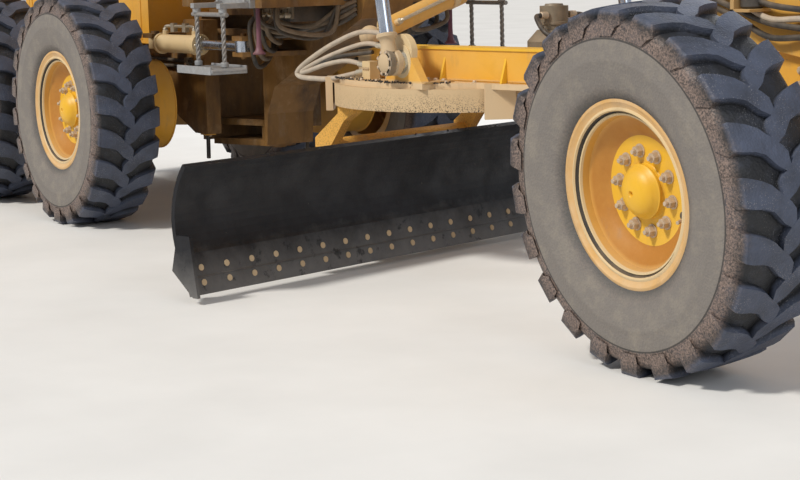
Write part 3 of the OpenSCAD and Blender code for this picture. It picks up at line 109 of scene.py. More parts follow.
class Parts:
    """Collects closed shapes that become one mesh; mat counts through the materials named at the end."""

    def __init__(self):
        self.verts, self.faces, self.mats = [], [], []

    def add(self, verts, faces, mat=0):
        start = len(self.verts)
        self.verts += [Vector(v) for v in verts]
        self.faces += [[start + i for i in f] for f in faces]
        self.mats += [mat] * len(faces)

    def box(self, p, q, mat=0, turn=None):
        """A box between two corners, given in any order."""
        xs, ys, zs = (sorted(pair) for pair in zip(p, q))
        corners = [Vector((x, y, z)) for z in zs for y in ys for x in xs]
        if turn is not None:
            corners = [turn @ c for c in corners]
        self.add(corners, [(0, 2, 3, 1), (4, 5, 7, 6), (0, 1, 5, 4), (2, 6, 7, 3), (0, 4, 6, 2),
                           (1, 3, 7, 5)], mat)

    def revolve(self, profile, origin, axis, steps=24, mat=0):
        """profile is [(radius, distance along the axis)], closed at both ends where the radius is 0."""
        side, up, along = frame_of(axis)
        verts, faces, rings = [], [], []
        for r, h in profile:
            centre = Vector(origin) + along * h
            rings.append(list(range(len(verts), len(verts) + (steps if r > 1e-6 else 1))))
            verts += [centre + side * u + up * v for u, v in ring(steps, r)] if r > 1e-6 else [centre]
        for p, q in zip(rings, rings[1:]):
            for i in range(steps):
                j = (i + 1) % steps
                if len(p) == 1 and len(q) > 1:
                    faces.append((p[0], q[j], q[i]))
                elif len(q) == 1 and len(p) > 1:
                    faces.append((p[i], p[j], q[0]))
                elif len(p) > 1:
                    faces.append((p[i], p[j], q[j], q[i]))
        self.add(verts, faces, mat)

    def disc(self, r, h, origin, axis, steps=24, mat=0):
        self.revolve([(0, 0), (r, 0), (r, h), (0, h)], origin, axis, steps, mat)

    def rod(self, p, q, r, steps=16, mat=0):
        p, q = Vector(p), Vector(q)
        length = (q - p).length
        e = min(r * 0.15, length * 0.2)
        self.revolve([(0, 0), (r - e, 0), (r, e), (r, length - e), (r - e, length), (0, length)], p, q - p,
                     steps, mat)

    def hexagon(self, p, axis, r, h, mat=0):
        self.revolve([(0, 0), (r, 0), (r, h * 0.8), (r * 0.86, h), (0, h)], p, axis, 6, mat)

    def bolt(self, p, axis, r, mat=0):
        """A washer and a hexagon head."""
        self.disc(r * 1.45, r * 0.25, p, axis, 16, mat)
        self.hexagon(Vector(p) + Vector(axis).normalized() * r * 0.2, axis, r, r * 0.8, mat)

    def tube(self, points, r, steps=10, mat=0, smooth=6):
        """A hose along a smooth curve through the points."""
        path = spline(points, smooth)
        verts, faces = [], []
        up = Vector((0.03, 0.05, 1)).normalized()
        for i, p in enumerate(path):
            t = (path[min(i + 1, len(path) - 1)] - path[max(i - 1, 0)]).normalized()
            side = t.cross(up)
            if side.length < 1e-3:
                side = t.cross(Vector((1, 0, 0)))
            side.normalize()
            up = side.cross(t).normalized()
            verts += [p + side * u + up * v for u, v in ring(steps, r)]
        last = len(verts) - steps
        for a in range(0, last, steps):
            for k in range(steps):
                n = (k + 1) % steps
                faces.append((a + k, a + n, a + steps + n, a + steps + k))
        faces.append(list(range(steps))[::-1])
        faces.append(list(range(last, len(verts))))
        self.add(verts, faces, mat)

    def plate(self, outline, thickness, place, mat=0):
        """An outline of (u, v) points, thickness along w, placed by a 4x4 matrix."""
        n = len(outline)
        verts = [place @ Vector((u, v, w)) for w in (-thickness / 2, thickness / 2) for u, v in outline]
        faces = [list(range(n))[::-1], list(range(n, 2 * n))]
        faces += [(i, (i + 1) % n, n + (i + 1) % n, n + i) for i in range(n)]
        self.add(verts, faces, mat)

    def mesh(self, name, mats, smooth=True, sharp=True):
        mesh = bpy.data.meshes.new(name)
        mesh.from_pydata([tuple(v) for v in self.verts], [], [tuple(f) for f in self.faces])
        mesh.update()
        for key in mats.split():
            mesh.materials.append(M[key])
        if smooth:
            mesh.shade_smooth()
        for poly, number in zip(mesh.polygons, self.mats):
            poly.material_index = number
        if smooth and sharp:
            sharpen(mesh)
        return mesh

    def make(self, name, body, mats, slot, edge=0.0, smooth=True):
        obj = placed(name, self.mesh(name, mats, smooth), body)
        if edge:
            bevel = obj.modifiers.new("bevel", "BEVEL")
            bevel.width = edge
            bevel.segments = 2
            bevel.limit_method = "ANGLE"
            bevel.angle_limit = math.radians(35)
        return obj


# Materials
class Shader:
    """Short names for the nodes that the materials are made of."""

    def __init__(self, name, color, roughness=0.6, metallic=0.0, alpha=1.0):
        self.mat = bpy.data.materials.new(name)
        self.mat.use_nodes = True
        self.tree = self.mat.node_tree
        self.sockets = self.tree.nodes["Principled BSDF"].inputs
        self.put("Base Color", (*color[:3], 1))
        self.put("Roughness", roughness)
        self.put("Metallic", metallic)
        self.put("Alpha", alpha)
        self.coords = self.tree.nodes.new("ShaderNodeTexCoord").outputs["Object"]

    def put(self, key, value, sockets=None):
        """Sets a socket to a constant, or links it to another node's output."""
        socket = (self.sockets if sockets is None else sockets)[key]
        if isinstance(value, bpy.types.NodeSocket):
            self.tree.links.new(value, socket)
        else:
            socket.default_value = value

    def node(self, kind, **values):
        """A new node; its values are given by the sockets' names, with _ for a space."""
        n = self.tree.nodes.new("ShaderNode" + kind)
        for key, value in values.items():
            self.put(key.replace("_", " "), value, n.inputs)
        return n

    def noise(self, scale, detail=4, rough=0.55, stretch=None):
        at = self.coords
        if stretch:
            at = self.node("Mapping", Scale=stretch, Vector=at).outputs["Vector"]
        return self.node("TexNoise", Scale=scale, Detail=detail, Roughness=rough, Vector=at).outputs["Fac"]

    def cells(self, scale):
        return self.node("TexVoronoi", Scale=scale, Vector=self.coords).outputs["Distance"]

    def ramp(self, value, low, high, a=0.0, b=1.0):
        """A value mapped from low..high to a..b, clamped."""
        n = self.node("MapRange", From_Min=low, From_Max=high, To_Min=a, To_Max=b, Value=value)
        return n.outputs["Result"]

    def clouds(self, scale, detail, rough, low, high, a=0.0, b=1.0):
        return self.ramp(self.noise(scale, detail, rough), low, high, a, b)

    def spots(self, scale, low, high, a=0.0, b=1.0):
        return self.ramp(self.cells(scale), low, high, a, b)

    def math(self, op, *values):
        n = self.node("Math")
        n.operation = op
        for i, value in enumerate(values):
            self.put(i, value, n.inputs)
        return n.outputs[0]

    def mul(self, *values):
        """The product of two or more values."""
        out = values[0]
        for value in values[1:]:
            out = self.math("MULTIPLY", out, value)
        return out

    def wander(self, value, amount, scale, detail=5, rough=0.55):
        """A value with noise of an amount added to it."""
        return self.math("MULTIPLY_ADD", self.noise(scale, detail, rough), amount, value)

    def split(self):
        return self.node("SeparateXYZ", Vector=self.coords).outputs

    def axle_distance(self):
        x, _, z = self.split()
        return self.math("SQRT", self.math("ADD", self.mul(x, x), self.mul(z, z)))

    def up(self):
        """Z of the surface's normal, 1 on a face that looks up."""
        normal = self.node("NewGeometry").outputs["Normal"]
        return self.node("SeparateXYZ", Vector=normal).outputs["Z"]

    def over(self, tint, amount):
        """Lays a colour over what there is, by an amount."""
        n = self.node("Mix")
        n.data_type = "RGBA"
        socket = self.sockets["Base Color"]
        self.put("A", socket.links[0].from_socket if socket.links else socket.default_value, n.inputs)
        self.put("B", (*tint[:3], 1), n.inputs)
        self.put("Factor", amount, n.inputs)
        self.put("Base Color", n.outputs["Result"])

    def rough(self, value):
        self.put("Roughness", value)

    def bump(self, height, distance=0.002, strength=0.6):
        n = self.node("Bump", Strength=strength, Distance=distance, Height=height)
        links = self.sockets["Normal"].links
        if links:
            self.put("Normal", links[0].from_socket, n.inputs)
        self.put("Normal", n.outputs["Normal"])


def rgb(r, g, b):
    """Linear colour of an sRGB one."""
    return tuple(c / 3294.6 if c <= 10 else ((c / 255 + 0.055) / 1.055) ** 2.4 for c in (r, g, b))


DUST = rgb(176, 150, 118)
PALE_DUST = rgb(205, 188, 160)
BARE = rgb(196, 172, 138)
TAR = rgb(14, 15, 20)


def paint(name, color, dust=0.35, chips=0.5, tar=0.15, pale=rgb(232, 190, 112), roughness=0.5, zone=None):
    """Machine paint: faded in clouds, dusty on top faces, chipped to steel, spattered with asphalt."""
    m = Shader(name, color, roughness)
    m.over(pale, m.clouds(1.7, 5, 0.55, 0.42, 0.68, 0.0, 0.45))
    m.over([c * 0.72 for c in color], m.clouds(7.0, 6, 0.65, 0.55, 0.75, 0.0, 0.35))
    cloud = m.clouds(3.1, 8, 0.7, 0.35, 0.72)
    m.over(DUST, m.mul(cloud, m.ramp(m.up(), 0.25, 0.95, 0.35, 1.0), dust))
    if zone:
        zone(m)
    grime = m.ramp(m.noise(11.0, 6, 0.7, stretch=(1, 1, 0.35)), 0.56, 0.78)
    m.over((0.24, 0.18, 0.12), m.mul(grime, dust * 0.9))
    m.over((0.20, 0.13, 0.08), m.mul(m.clouds(26.0, 5, 0.75, 0.70 - chips * 0.04, 0.73 - chips * 0.04),
                                     chips))
    m.over(TAR, m.mul(m.spots(90.0, 0.16, 0.10), m.clouds(4.3, 4, 0.55, 0.52, 0.66), tar))
    m.rough(m.ramp(cloud, 0.0, 1.0, roughness - 0.08, min(0.95, roughness + 0.30)))
    m.bump(m.noise(160.0, 3), 0.0006, 0.35)
    m.bump(m.noise(9.0, 3), 0.0015, 0.25)
    return m.mat


def dull(name, color, rough=0.7, metal=0.0, dust=0.4, scale=14.0):
    """Iron, plastic or rubber with dust in clouds."""
    m = Shader(name, color, rough, metal)
    m.over([min(1, c * 1.6 + 0.02) for c in color], m.clouds(scale, 5, 0.6, 0.45, 0.75, 0, 0.5))
    m.over(DUST, m.mul(m.clouds(5.0, 7, 0.7, 0.38, 0.70), m.ramp(m.up(), 0.1, 0.9, 0.45, 1.0), dust))
    m.rough(m.clouds(scale * 1.7, 4, 0.55, 0.3, 0.7, max(0.05, rough - 0.12), min(1, rough + 0.15)))
    m.bump(m.noise(scale * 9, 4), 0.001, 0.5)
    return m.mat


def chrome(name):
    m = Shader(name, (0.42, 0.47, 0.56), 0.16, 0.95)
    streak = m.noise(30.0, 3, stretch=(1, 1, 0.05))
    m.over((0.70, 0.74, 0.80), m.ramp(streak, 0.35, 0.65, 0.0, 0.6))
    m.over((0.50, 0.44, 0.35), m.clouds(8.0, 6, 0.7, 0.60, 0.80, 0.0, 0.4))
    m.rough(m.clouds(16.0, 4, 0.55, 0.3, 0.7, 0.12, 0.34))
    return m.mat


def glass(name):
    m = Shader(name, (0.55, 0.66, 0.68), 0.06, alpha=0.34)
    m.over(DUST, m.clouds(2.0, 6, 0.7, 0.45, 0.80, 0.0, 0.55))
    m.rough(m.clouds(5.0, 6, 0.55, 0.4, 0.7, 0.05, 0.35))
    return m.mat


def lamp_glass(name, color):
    m = Shader(name, color, 0.15)
    m.over([c * 0.55 for c in color], m.spots(120.0, 0.1, 0.5, 0.0, 0.7))
    m.over(DUST, m.clouds(9.0, 5, 0.55, 0.45, 0.75, 0.0, 0.5))
    m.bump(m.cells(120.0), 0.002, 0.6)
    return m.mat


def tyre_rubber(name):
    """Dark tread with granules, bluish lug tops as a painted sky highlight, speckled brown shoulder, grey
    sidewall. Y is the wheel's axis.
    """
    m = Shader(name, (0.014, 0.015, 0.018), 0.62)
    radius = m.axle_distance()
    # the noise adds about 0.05 to the radius
    worn = m.wander(radius, 0.10, 16.0, 6, 0.7)
    side = m.ramp(m.math("ABSOLUTE", m.split()["Y"]), 0.150, 0.180)
    wall = m.mul(m.ramp(m.wander(radius, 0.014, 30.0), 0.562, 0.551), side)
    line = m.mul(m.ramp(m.math("ABSOLUTE", m.math("SUBTRACT", radius, 0.549)), 0.0042, 0.0022), side)
    m.over(rgb(70, 76, 92), m.clouds(9.0, 6, 0.7, 0.48, 0.80, 0.0, 0.6))
    # painted highlight: the lug tops are tinted blue, where the sky shines on them
    sky_highlight = m.mul(m.ramp(radius, 0.628, 0.642), m.clouds(6.0, 6, 0.7, 0.35, 0.65, 0.35, 0.9))
    m.over(rgb(78, 86, 106), sky_highlight)
    speck = m.ramp(m.clouds(120.0, 4, 0.8, 0.40, 0.62), 0, 1, 0.10, 0.95)
    m.over(rgb(146, 126, 115), m.mul(m.ramp(worn, 0.700, 0.640), side, speck))
    m.over(rgb(121, 116, 111), m.mul(wall, 0.93))
    m.over(rgb(150, 142, 128), m.mul(wall, m.clouds(12.0, 7, 0.7, 0.48, 0.72, 0.0, 0.5)))
    m.over((0.035, 0.033, 0.032), m.mul(line, 0.85))
    m.over((0.09, 0.09, 0.085), m.mul(m.ramp(radius, 0.375, 0.345),
                                      m.clouds(5.0, 4, 0.55, 0.35, 0.6, 0.2, 0.8)))
    grains = m.mul(m.spots(150.0, 0.30, 0.08), m.ramp(worn, 0.640, 0.690))
    m.over((0.30, 0.29, 0.30), m.mul(grains, m.clouds(10.0, 4, 0.55, 0.46, 0.60, 0, 0.75)))
    m.rough(m.ramp(wall, 0, 1, 0.55, 0.90))
    m.bump(m.cells(110.0), 0.004, 0.35)
    m.bump(m.noise(45.0, 5, 0.7), 0.003, 0.5)
    return m.mat


def blade_steel(name):
    """Near-black scale with an asphalt film, darkened further as painted shade, rubbed grey low down."""
    # painted shade: the base and the clouds over it are darkened for the shade the moldboard lies in
    m = Shader(name, (0.0045, 0.005, 0.008), 0.5, 0.25)
    m.over((0.022, 0.023, 0.030), m.clouds(2.6, 8, 0.7, 0.45, 0.72, 0.0, 0.6))
    low = m.ramp(m.wander(m.split()["Z"], 0.20, 6.0, 6, 0.7), 0.34, 0.14)
    m.over((0.26, 0.25, 0.24), m.mul(low, 0.55))
    m.over(TAR, m.clouds(14.0, 6, 0.7, 0.58, 0.66, 0.0, 0.8))
    m.over(PALE_DUST, m.clouds(33.0, 6, 0.75, 0.66, 0.80, 0.0, 0.3))
    m.rough(m.clouds(8.0, 5, 0.55, 0.35, 0.65, 0.35, 0.62))
    m.bump(m.noise(60.0, 5, 0.7), 0.002, 0.4)
    return m.mat


# Zones: what lies on one part of a painted piece
def underside(m):
    """Brown road grime and painted shade, deep between the frames and low down, thinning out forwards and upwards.
    """
    x, _, z = m.split()
    drift = m.noise(2.3, 6, 0.65)
    back = m.ramp(m.math("MULTIPLY_ADD", drift, 0.9, x), 1.75, 0.30)
    low = m.ramp(m.math("MULTIPLY_ADD", drift, 0.5, z), 1.95, 1.45)
    amount = m.mul(back, low)
    # brown grime and painted shade, towards the rear and low down
    m.over(rgb(104, 72, 38), m.mul(amount, 0.88))
    streak = m.ramp(m.noise(3.4, 7, 0.7, stretch=(1, 1, 0.3)), 0.44, 0.66)
    m.over(rgb(52, 38, 27), m.mul(amount, streak, 0.85))
    m.over(rgb(158, 128, 92), m.mul(amount, m.clouds(6.0, 7, 0.75, 0.55, 0.72, 0.0, 0.6)))


def splashed(m):
    """Asphalt thrown up over the lower part of a band, thickest forward."""
    x, _, z = m.split()
    low = m.ramp(m.wander(z, 0.06, 9.0), 0.895, 0.800)
    along = m.ramp(m.wander(x, 0.5, 2.0, 4), 0.85, 1.45, 0.35, 1.0)
    drops = m.math("MAXIMUM", m.spots(170.0, 0.42, 0.30), m.spots(70.0, 0.30, 0.20))
    m.over(rgb(222, 164, 58), m.ramp(z, 0.774, 0.768, 0.0, 0.85))
    m.over(TAR, m.mul(low, along, drops))


def base_ball(m):
    """The ball socket at the side shift cylinder's base is bare and dusty."""
    m.over(BARE, m.ramp(m.split()["Y"], -0.425, -0.440, 0.0, 0.95))


def dish(m):
    """The rim's dish is painted darker ochre as painted shade, with ochre dust in it; its lip is pale."""
    radius = m.axle_distance()
    shade_and_dust = m.mul(m.ramp(radius, 0.272, 0.255), m.ramp(radius, 0.165, 0.190))
    # painted shade with ochre dust: the recessed dish is darker ochre
    m.over(rgb(172, 112, 34), m.mul(shade_and_dust, m.clouds(5.0, 6, 0.7, 0.3, 0.6, 0.55, 0.95)))
    m.over(rgb(208, 176, 134), m.mul(m.ramp(radius, 0.290, 0.300),
                                     m.clouds(7.0, 6, 0.7, 0.35, 0.6, 0.25, 0.8)))


def plate_edge(m):
    """The plate over the circle is rubbed to a dusty cream, its webs stay yellow."""
    x, y, z = m.split()
    m.over(rgb(206, 182, 148), m.ramp(m.wander(z, 0.010, 14.0), 0.926, 0.910, 0.0, 0.9))
    # the block and ball of the side shift cylinder
    here = m.mul(m.ramp(y, -0.438, -0.446), m.ramp(x, 0.56, 0.54), m.ramp(x, 0.40, 0.42))
    m.over(BARE, m.mul(here, 0.95))
    lying = m.mul(m.ramp(m.up(), 0.8, 0.95), m.clouds(5.0, 5, 0.55, 0.45, 0.6))
    m.over(TAR, m.mul(m.spots(150.0, 0.34, 0.22), lying))


M = {
    "yellow": paint("yellow paint", rgb(226, 164, 42), dust=0.5),
    "clean": paint("clean yellow paint", rgb(228, 176, 36), 0.25, 0.2, 0.05, rgb(230, 186, 74), 0.4),
    "cream": paint("cream paint", rgb(212, 186, 140), dust=0.5, tar=0.1, pale=rgb(226, 208, 170)),
    "dusty": paint("dusty paint", rgb(176, 138, 80), dust=0.85, tar=0.35, pale=rgb(190, 160, 112)),
    "rim": paint("rim paint", rgb(205, 152, 66), 0.55, 0.25, 0.05, rgb(214, 172, 104), zone=dish),
    "shift": paint("shift cylinder paint", rgb(222, 172, 84), dust=0.6, zone=base_ball),
    "worn": paint("worn steel", rgb(190, 166, 132), dust=0.6, tar=0.5, pale=rgb(205, 182, 148),
                  roughness=0.65),
    "splashed": paint("splashed steel", rgb(196, 168, 128), 0.55, 0.5, 0.4, rgb(206, 184, 148), 0.65,
                      splashed),
    "drawbar": paint("drawbar paint", rgb(226, 164, 42), dust=0.4, zone=plate_edge),
    # the frames: brown grime and painted shade low down between them
    "grime_and_shade": paint("grimy yellow paint", rgb(214, 158, 52), dust=0.7, tar=0.3, zone=underside),
    "zinc": dull("galvanised tread", rgb(150, 152, 154), 0.55, 0.35, 0.35, 30.0),
    "mauve": dull("mauve pipe", rgb(104, 56, 78), 0.55, 0.0, 0.35),
    "crumb": dull("asphalt crumbs", (0.012, 0.012, 0.015), 0.45, 0.0, 0.10, 90.0),
    "iron": dull("dark iron", (0.060, 0.055, 0.050), 0.6, 0.3, 0.35),
    "forged": dull("forged iron", (0.20, 0.165, 0.12), 0.65, 0.3, 0.6),
    "nut": dull("pale rusty steel", (0.52, 0.42, 0.31), 0.55, 0.35, 0.4, 60.0),
    "exhaust": dull("browned steel", (0.16, 0.11, 0.08), 0.55, 0.6, 0.25),
    "plastic": dull("black plastic", (0.02, 0.02, 0.022), 0.5, 0.0, 0.25, 30.0),
    "vinyl": dull("black vinyl", (0.018, 0.018, 0.02), 0.55, 0.0, 0.12, 50.0),
    "hose": dull("dusty hose", (0.42, 0.36, 0.29), 0.8, 0.0, 0.85, 20.0),
    "brown_hose": dull("brown hose", (0.11, 0.080, 0.052), 0.75, 0.0, 0.55, 20.0),
    "black_hose": dull("black hose", (0.022, 0.021, 0.020), 0.55, 0.0, 0.45, 20.0),
    "fitting": dull("zinc fitting", (0.55, 0.50, 0.40), 0.4, 0.6, 0.35, 40.0),
    "rope": dull("wire rope", (0.26, 0.25, 0.24), 0.5, 0.5, 0.35, 60.0),
    "chrome": chrome("hard chrome"),
    "glass": glass("cab glass"),
    "clear": lamp_glass("clear lens", (0.75, 0.76, 0.74)),
    "red": lamp_glass("red lens", (0.45, 0.015, 0.012)),
    "tyre": tyre_rubber("tyre rubber"),
    "blade": blade_steel("blade steel"),
}


# Camera, at the photograph's place, angle and lens
CAMERA_AT = Vector((8.495, -5.33, 1.50))
AZIMUTH, PITCH, ROLL = math.radians(58.2), math.radians(8.5), math.radians(-1.5)
FOCAL_PIXELS, PHOTO_WIDTH, SENSOR = 1929, 800, 36


def camera():
    level = math.cos(PITCH)
    back = Vector((math.sin(AZIMUTH) * level, -math.cos(AZIMUTH) * level, math.sin(PITCH)))
    right = (-back).cross(Vector(UP)).normalized()
    up = right.cross(-back)
    c, s = math.cos(ROLL), math.sin(ROLL)
    right, up = c * right + s * up, c * up - s * right
    data = bpy.data.cameras.new("camera")
    data.sensor_width = SENSOR
    data.lens = FOCAL_PIXELS / PHOTO_WIDTH * SENSOR
    data.clip_end = 100
    cam = bpy.data.objects.new("camera", data)
    place = Matrix((right, up, back)).transposed().to_4x4()
    place.translation = CAMERA_AT
    cam.matrix_world = place
    bpy.context.scene.collection.objects.link(cam)
    bpy.context.scene.camera = cam


def stage():
    floor = Shader("floor", (0.80, 0.79, 0.77), 0.9)
    floor.over((0.74, 0.73, 0.71), floor.clouds(1.2, 4, 0.55, 0.35, 0.7))
    mesh = bpy.data.meshes.new("floor")
    s = 60
    mesh.from_pydata([(-s, -s, 0), (s, -s, 0), (s, s, 0), (-s, s, 0)], [], [(0, 1, 2, 3)])
    mesh.materials.append(floor.mat)
    obj = bpy.data.objects.new("floor", mesh)
    bpy.context.scene.collection.objects.link(obj)
    world = bpy.data.worlds.new("studio")
    bpy.context.scene.world = world
    world.use_nodes = True
    background = world.node_tree.nodes["Background"].inputs
    background["Color"].default_value = (0.93, 0.95, 1.0, 1)
    background["Strength"].default_value = 0.42
    # the key stands where the sun stands in the photograph; a light without a size is a sun
    for name, place, aim, size, power, tint in (
        ("key", (1.0, -9.5, 10.5), (0.8, 0, 0.6), 0, 2.7, (1.0, 0.96, 0.89)),
        ("fill", (17.0, -3.0, 7.0), (1.0, 0, 0.8), 7.0, 420, (0.90, 0.95, 1.0)),
        ("rim", (-5.0, 10.0, 7.0), (0, 0, 1), 6.0, 380, (0.95, 0.97, 1.0)),
    ):
        light = bpy.data.lights.new(name, "AREA" if size else "SUN")
        if size:
            light.size = size
        else:
            light.angle = math.radians(9)
        light.energy = power
        light.color = tint
        obj = bpy.data.objects.new(name, light)
        obj.location = place
        obj.rotation_euler = (Vector(aim) - Vector(place)).to_track_quat("-Z", "Y").to_euler()
        bpy.context.scene.collection.objects.link(obj)
    bpy.context.scene.view_settings.view_transform = "Standard"


camera()
stage()


# Wheels: local axes X, Z in the wheel's plane and Y outboard
TYRE_R, RIM_R, RIM_HALF, DISC_Y = 0.655, 0.305, 0.157, 0.059
LUGS, TYRE_STEPS = 22, 96
# half section of the carcass as (radius, distance from the middle), from the bead to the middle of the tread
CARCASS = [(0.300, 0.140), (0.318, 0.150), (0.344, 0.158), (0.352, 0.168), (0.380, 0.177), (0.430, 0.187),
           (0.470, 0.190), (0.476, 0.1915), (0.482, 0.190), (0.520, 0.190), (0.560, 0.186), (0.590, 0.180),
           (0.606, 0.172), (0.616, 0.155), (0.622, 0.110), (0.625, 0.060), (0.626, 0.0)]
# a lug's cross sections: distance from the middle, shift and half width along the tread, and
# lower and upper radius
LUG = [(0.192, -0.012, 0.034, 0.560, 0.592), (0.189, 0.000, 0.044, 0.592, 0.630),
       (0.178, 0.008, 0.050, 0.602, 0.648), (0.150, 0.016, 0.050, 0.608, 0.653),
       (0.110, 0.026, 0.046, 0.612, 0.6545), (0.070, 0.044, 0.044, 0.616, 0.655),
       (0.030, 0.084, 0.047, 0.618, 0.655), (-0.006, 0.110, 0.044, 0.618, 0.655),
       (-0.026, 0.116, 0.024, 0.618, 0.654)]


def lug(parts, angle, side):
    """One hooked lug from the shoulder to past the middle: a bar with a kink, drawn as a swept block."""
    verts, faces = [], []
    for y, shift, half, low, high in LUG:
        for at, r, wide in ((-1, low, 1.18), (1, low, 1.18), (1, high, 1.0), (-1, high, 1.0)):
            a = angle + (shift + at * half * wide) / TYRE_R
            verts.append((r * math.cos(a), side * y, r * math.sin(a)))
    for i in range(0, len(verts) - 4, 4):
        faces += [(i + k, i + (k + 1) % 4, i + 4 + (k + 1) % 4, i + 4 + k) for k in range(4)]
    faces.append((3, 2, 1, 0))
    faces.append(tuple(range(len(verts) - 4, len(verts))))
    parts.add(verts, [f[::-1] for f in faces] if side < 0 else faces)


def tyre_mesh():
    """Carcass with its lugs, as one mesh for all six wheels."""
    parts = Parts()
    profile = CARCASS + [(r, -y) for r, y in CARCASS[-2::-1]]
    verts = [(u, y, v) for r, y in profile for u, v in ring(TYRE_STEPS, r)]
    faces = []
    for k in range(0, len(verts), TYRE_STEPS):
        n = (k + TYRE_STEPS) % len(verts)
        for i in range(TYRE_STEPS):
            j = (i + 1) % TYRE_STEPS
            faces.append((k + i, k + j, n + j, n + i))
    parts.add(verts, faces)
    for i in range(LUGS):
        lug(parts, 2 * math.pi * i / LUGS, 1)
        lug(parts, 2 * math.pi * (i + 0.5) / LUGS, -1)
    return parts.mesh("tyre", "tyre")


def rim_mesh():
    """Rim over the CAD rim's section, with its nuts, studs, valve and cap, as one mesh for all six wheels."""
    parts = Parts()
    r, half, disc, out = RIM_R, RIM_HALF, DISC_Y, (0, 1, 0)
    coat, cream, yellow, nut, cap, dark = range(6)
    for profile, mat in (
        # flanges with their rolled edges
        ([(r - 0.012, -half), (r + 0.034, -half), (r + 0.038, -half + 0.004), (r + 0.038, -half + 0.010),
          (r + 0.030, -half + 0.014), (r + 0.004, -half + 0.014), (r, -half + 0.018), (r, half - 0.018),
          (r + 0.004, half - 0.014), (r + 0.030, half - 0.014), (r + 0.038, half - 0.010),
          (r + 0.038, half - 0.004), (r + 0.032, half), (r + 0.022, half + 0.001), (r + 0.012, half - 0.006),
          (r + 0.002, half - 0.008)], coat),
        # recess, gap of the lock ring and second ring
        ([(r + 0.002, half - 0.008), (r - 0.004, half - 0.004), (r - 0.008, half - 0.004),
          (r - 0.012, half - 0.010)], cream),
        ([(r - 0.012, half - 0.010), (r - 0.014, half - 0.022), (r - 0.018, half - 0.026)], dark),
        ([(r - 0.018, half - 0.026), (r - 0.021, half - 0.020), (r - 0.027, half - 0.021),
          (r - 0.030, half - 0.030)], cream),
        # well, disc and cap
        ([(r - 0.030, half - 0.030), (r - 0.036, half - 0.055), (r - 0.062, disc + 0.030),
          (0.222, disc + 0.016), (0.208, disc + 0.005), (0.196, disc + 0.001)], coat),
        ([(0.196, disc + 0.001), (0.184, disc), (0.100, disc), (0.096, disc + 0.004),
          (0.094, disc + 0.014)], yellow),
        ([(0.094, disc + 0.014), (0.098, disc + 0.015), (0.098, disc + 0.022), (0.092, disc + 0.026),
          (0.084, disc + 0.042), (0.070, disc + 0.056), (0.050, disc + 0.066), (0.026, disc + 0.071),
          (0.012, disc + 0.072), (0.009, disc + 0.069), (0.007, disc + 0.060), (0, disc + 0.060)], cap),
    ):
        parts.revolve(profile, (0, 0, 0), out, 72, mat)
    # the inner side follows the CAD section
    parts.revolve([(r - 0.012, -half), (r - 0.012, half - 0.066), (r - 0.038, half - 0.072), (0.222, disc),
                   (0.198, disc - 0.014), (0.132, disc - 0.014), (0.120, disc - 0.024), (0.120, -0.070),
                   (0.0602, -0.070)], (0, 0, 0), out, 48, coat)
    for u, v in ring(10, 0.142, 18):
        c = Vector((u, disc, -v))
        parts.disc(0.025, 0.004, c, out, 16, nut)
        parts.hexagon(c + Vector((0, 0.003, 0)), out, 0.0200, 0.023, nut)
        parts.revolve([(0, 0.02), (0.0095, 0.02), (0.0095, 0.037), (0.0075, 0.040), (0, 0.040)], c, out, 10,
                      nut)
    # valve and its slot, in the same direction from the middle; the slot is a dark disc of painted shade
    x, z = ring(1, 1, 205)[0]
    parts.rod((0.232 * x, disc + 0.010, 0.232 * z), (0.250 * x, disc + 0.070, 0.250 * z), 0.007, 8, nut)
    # painted shade: a dark disc stands for the slot's hole
    parts.disc(0.017, 0.004, (0.218 * x, disc + 0.014, 0.218 * z), out, 14, dark)
    return parts.mesh("rim", "rim cream clean nut clean iron")


def wheel_place(corner):
    """Matrix of a wheel: its middle, and Y along its axle, outboard."""
    low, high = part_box("tyre_" + corner)
    sign = 1 if corner.endswith("left") else -1
    out = sign * Vector(JOINTS["roll_" + corner]["axis"])
    x = Vector((sign, 0, 0))
    place = Matrix((x, out, x.cross(out).normalized())).transposed().to_4x4()
    place.translation = (Vector(low) + Vector(high)) / 2
    return place


tyre, rim = tyre_mesh(), rim_mesh()
for corner in ("front_left", "front_right", "mid_left", "mid_right", "rear_left", "rear_right"):
    place = wheel_place(corner) @ Matrix.Rotation(math.radians(7), 4, "Y")
    for kind, mesh, slot in (("tyre", tyre, "tyre_rubber"), ("rim", rim, "rim_paint")):
        obj = placed(f"{kind}_look_{corner}", mesh, "wheel_" + corner, place)
        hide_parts(f"{kind}_{corner}")


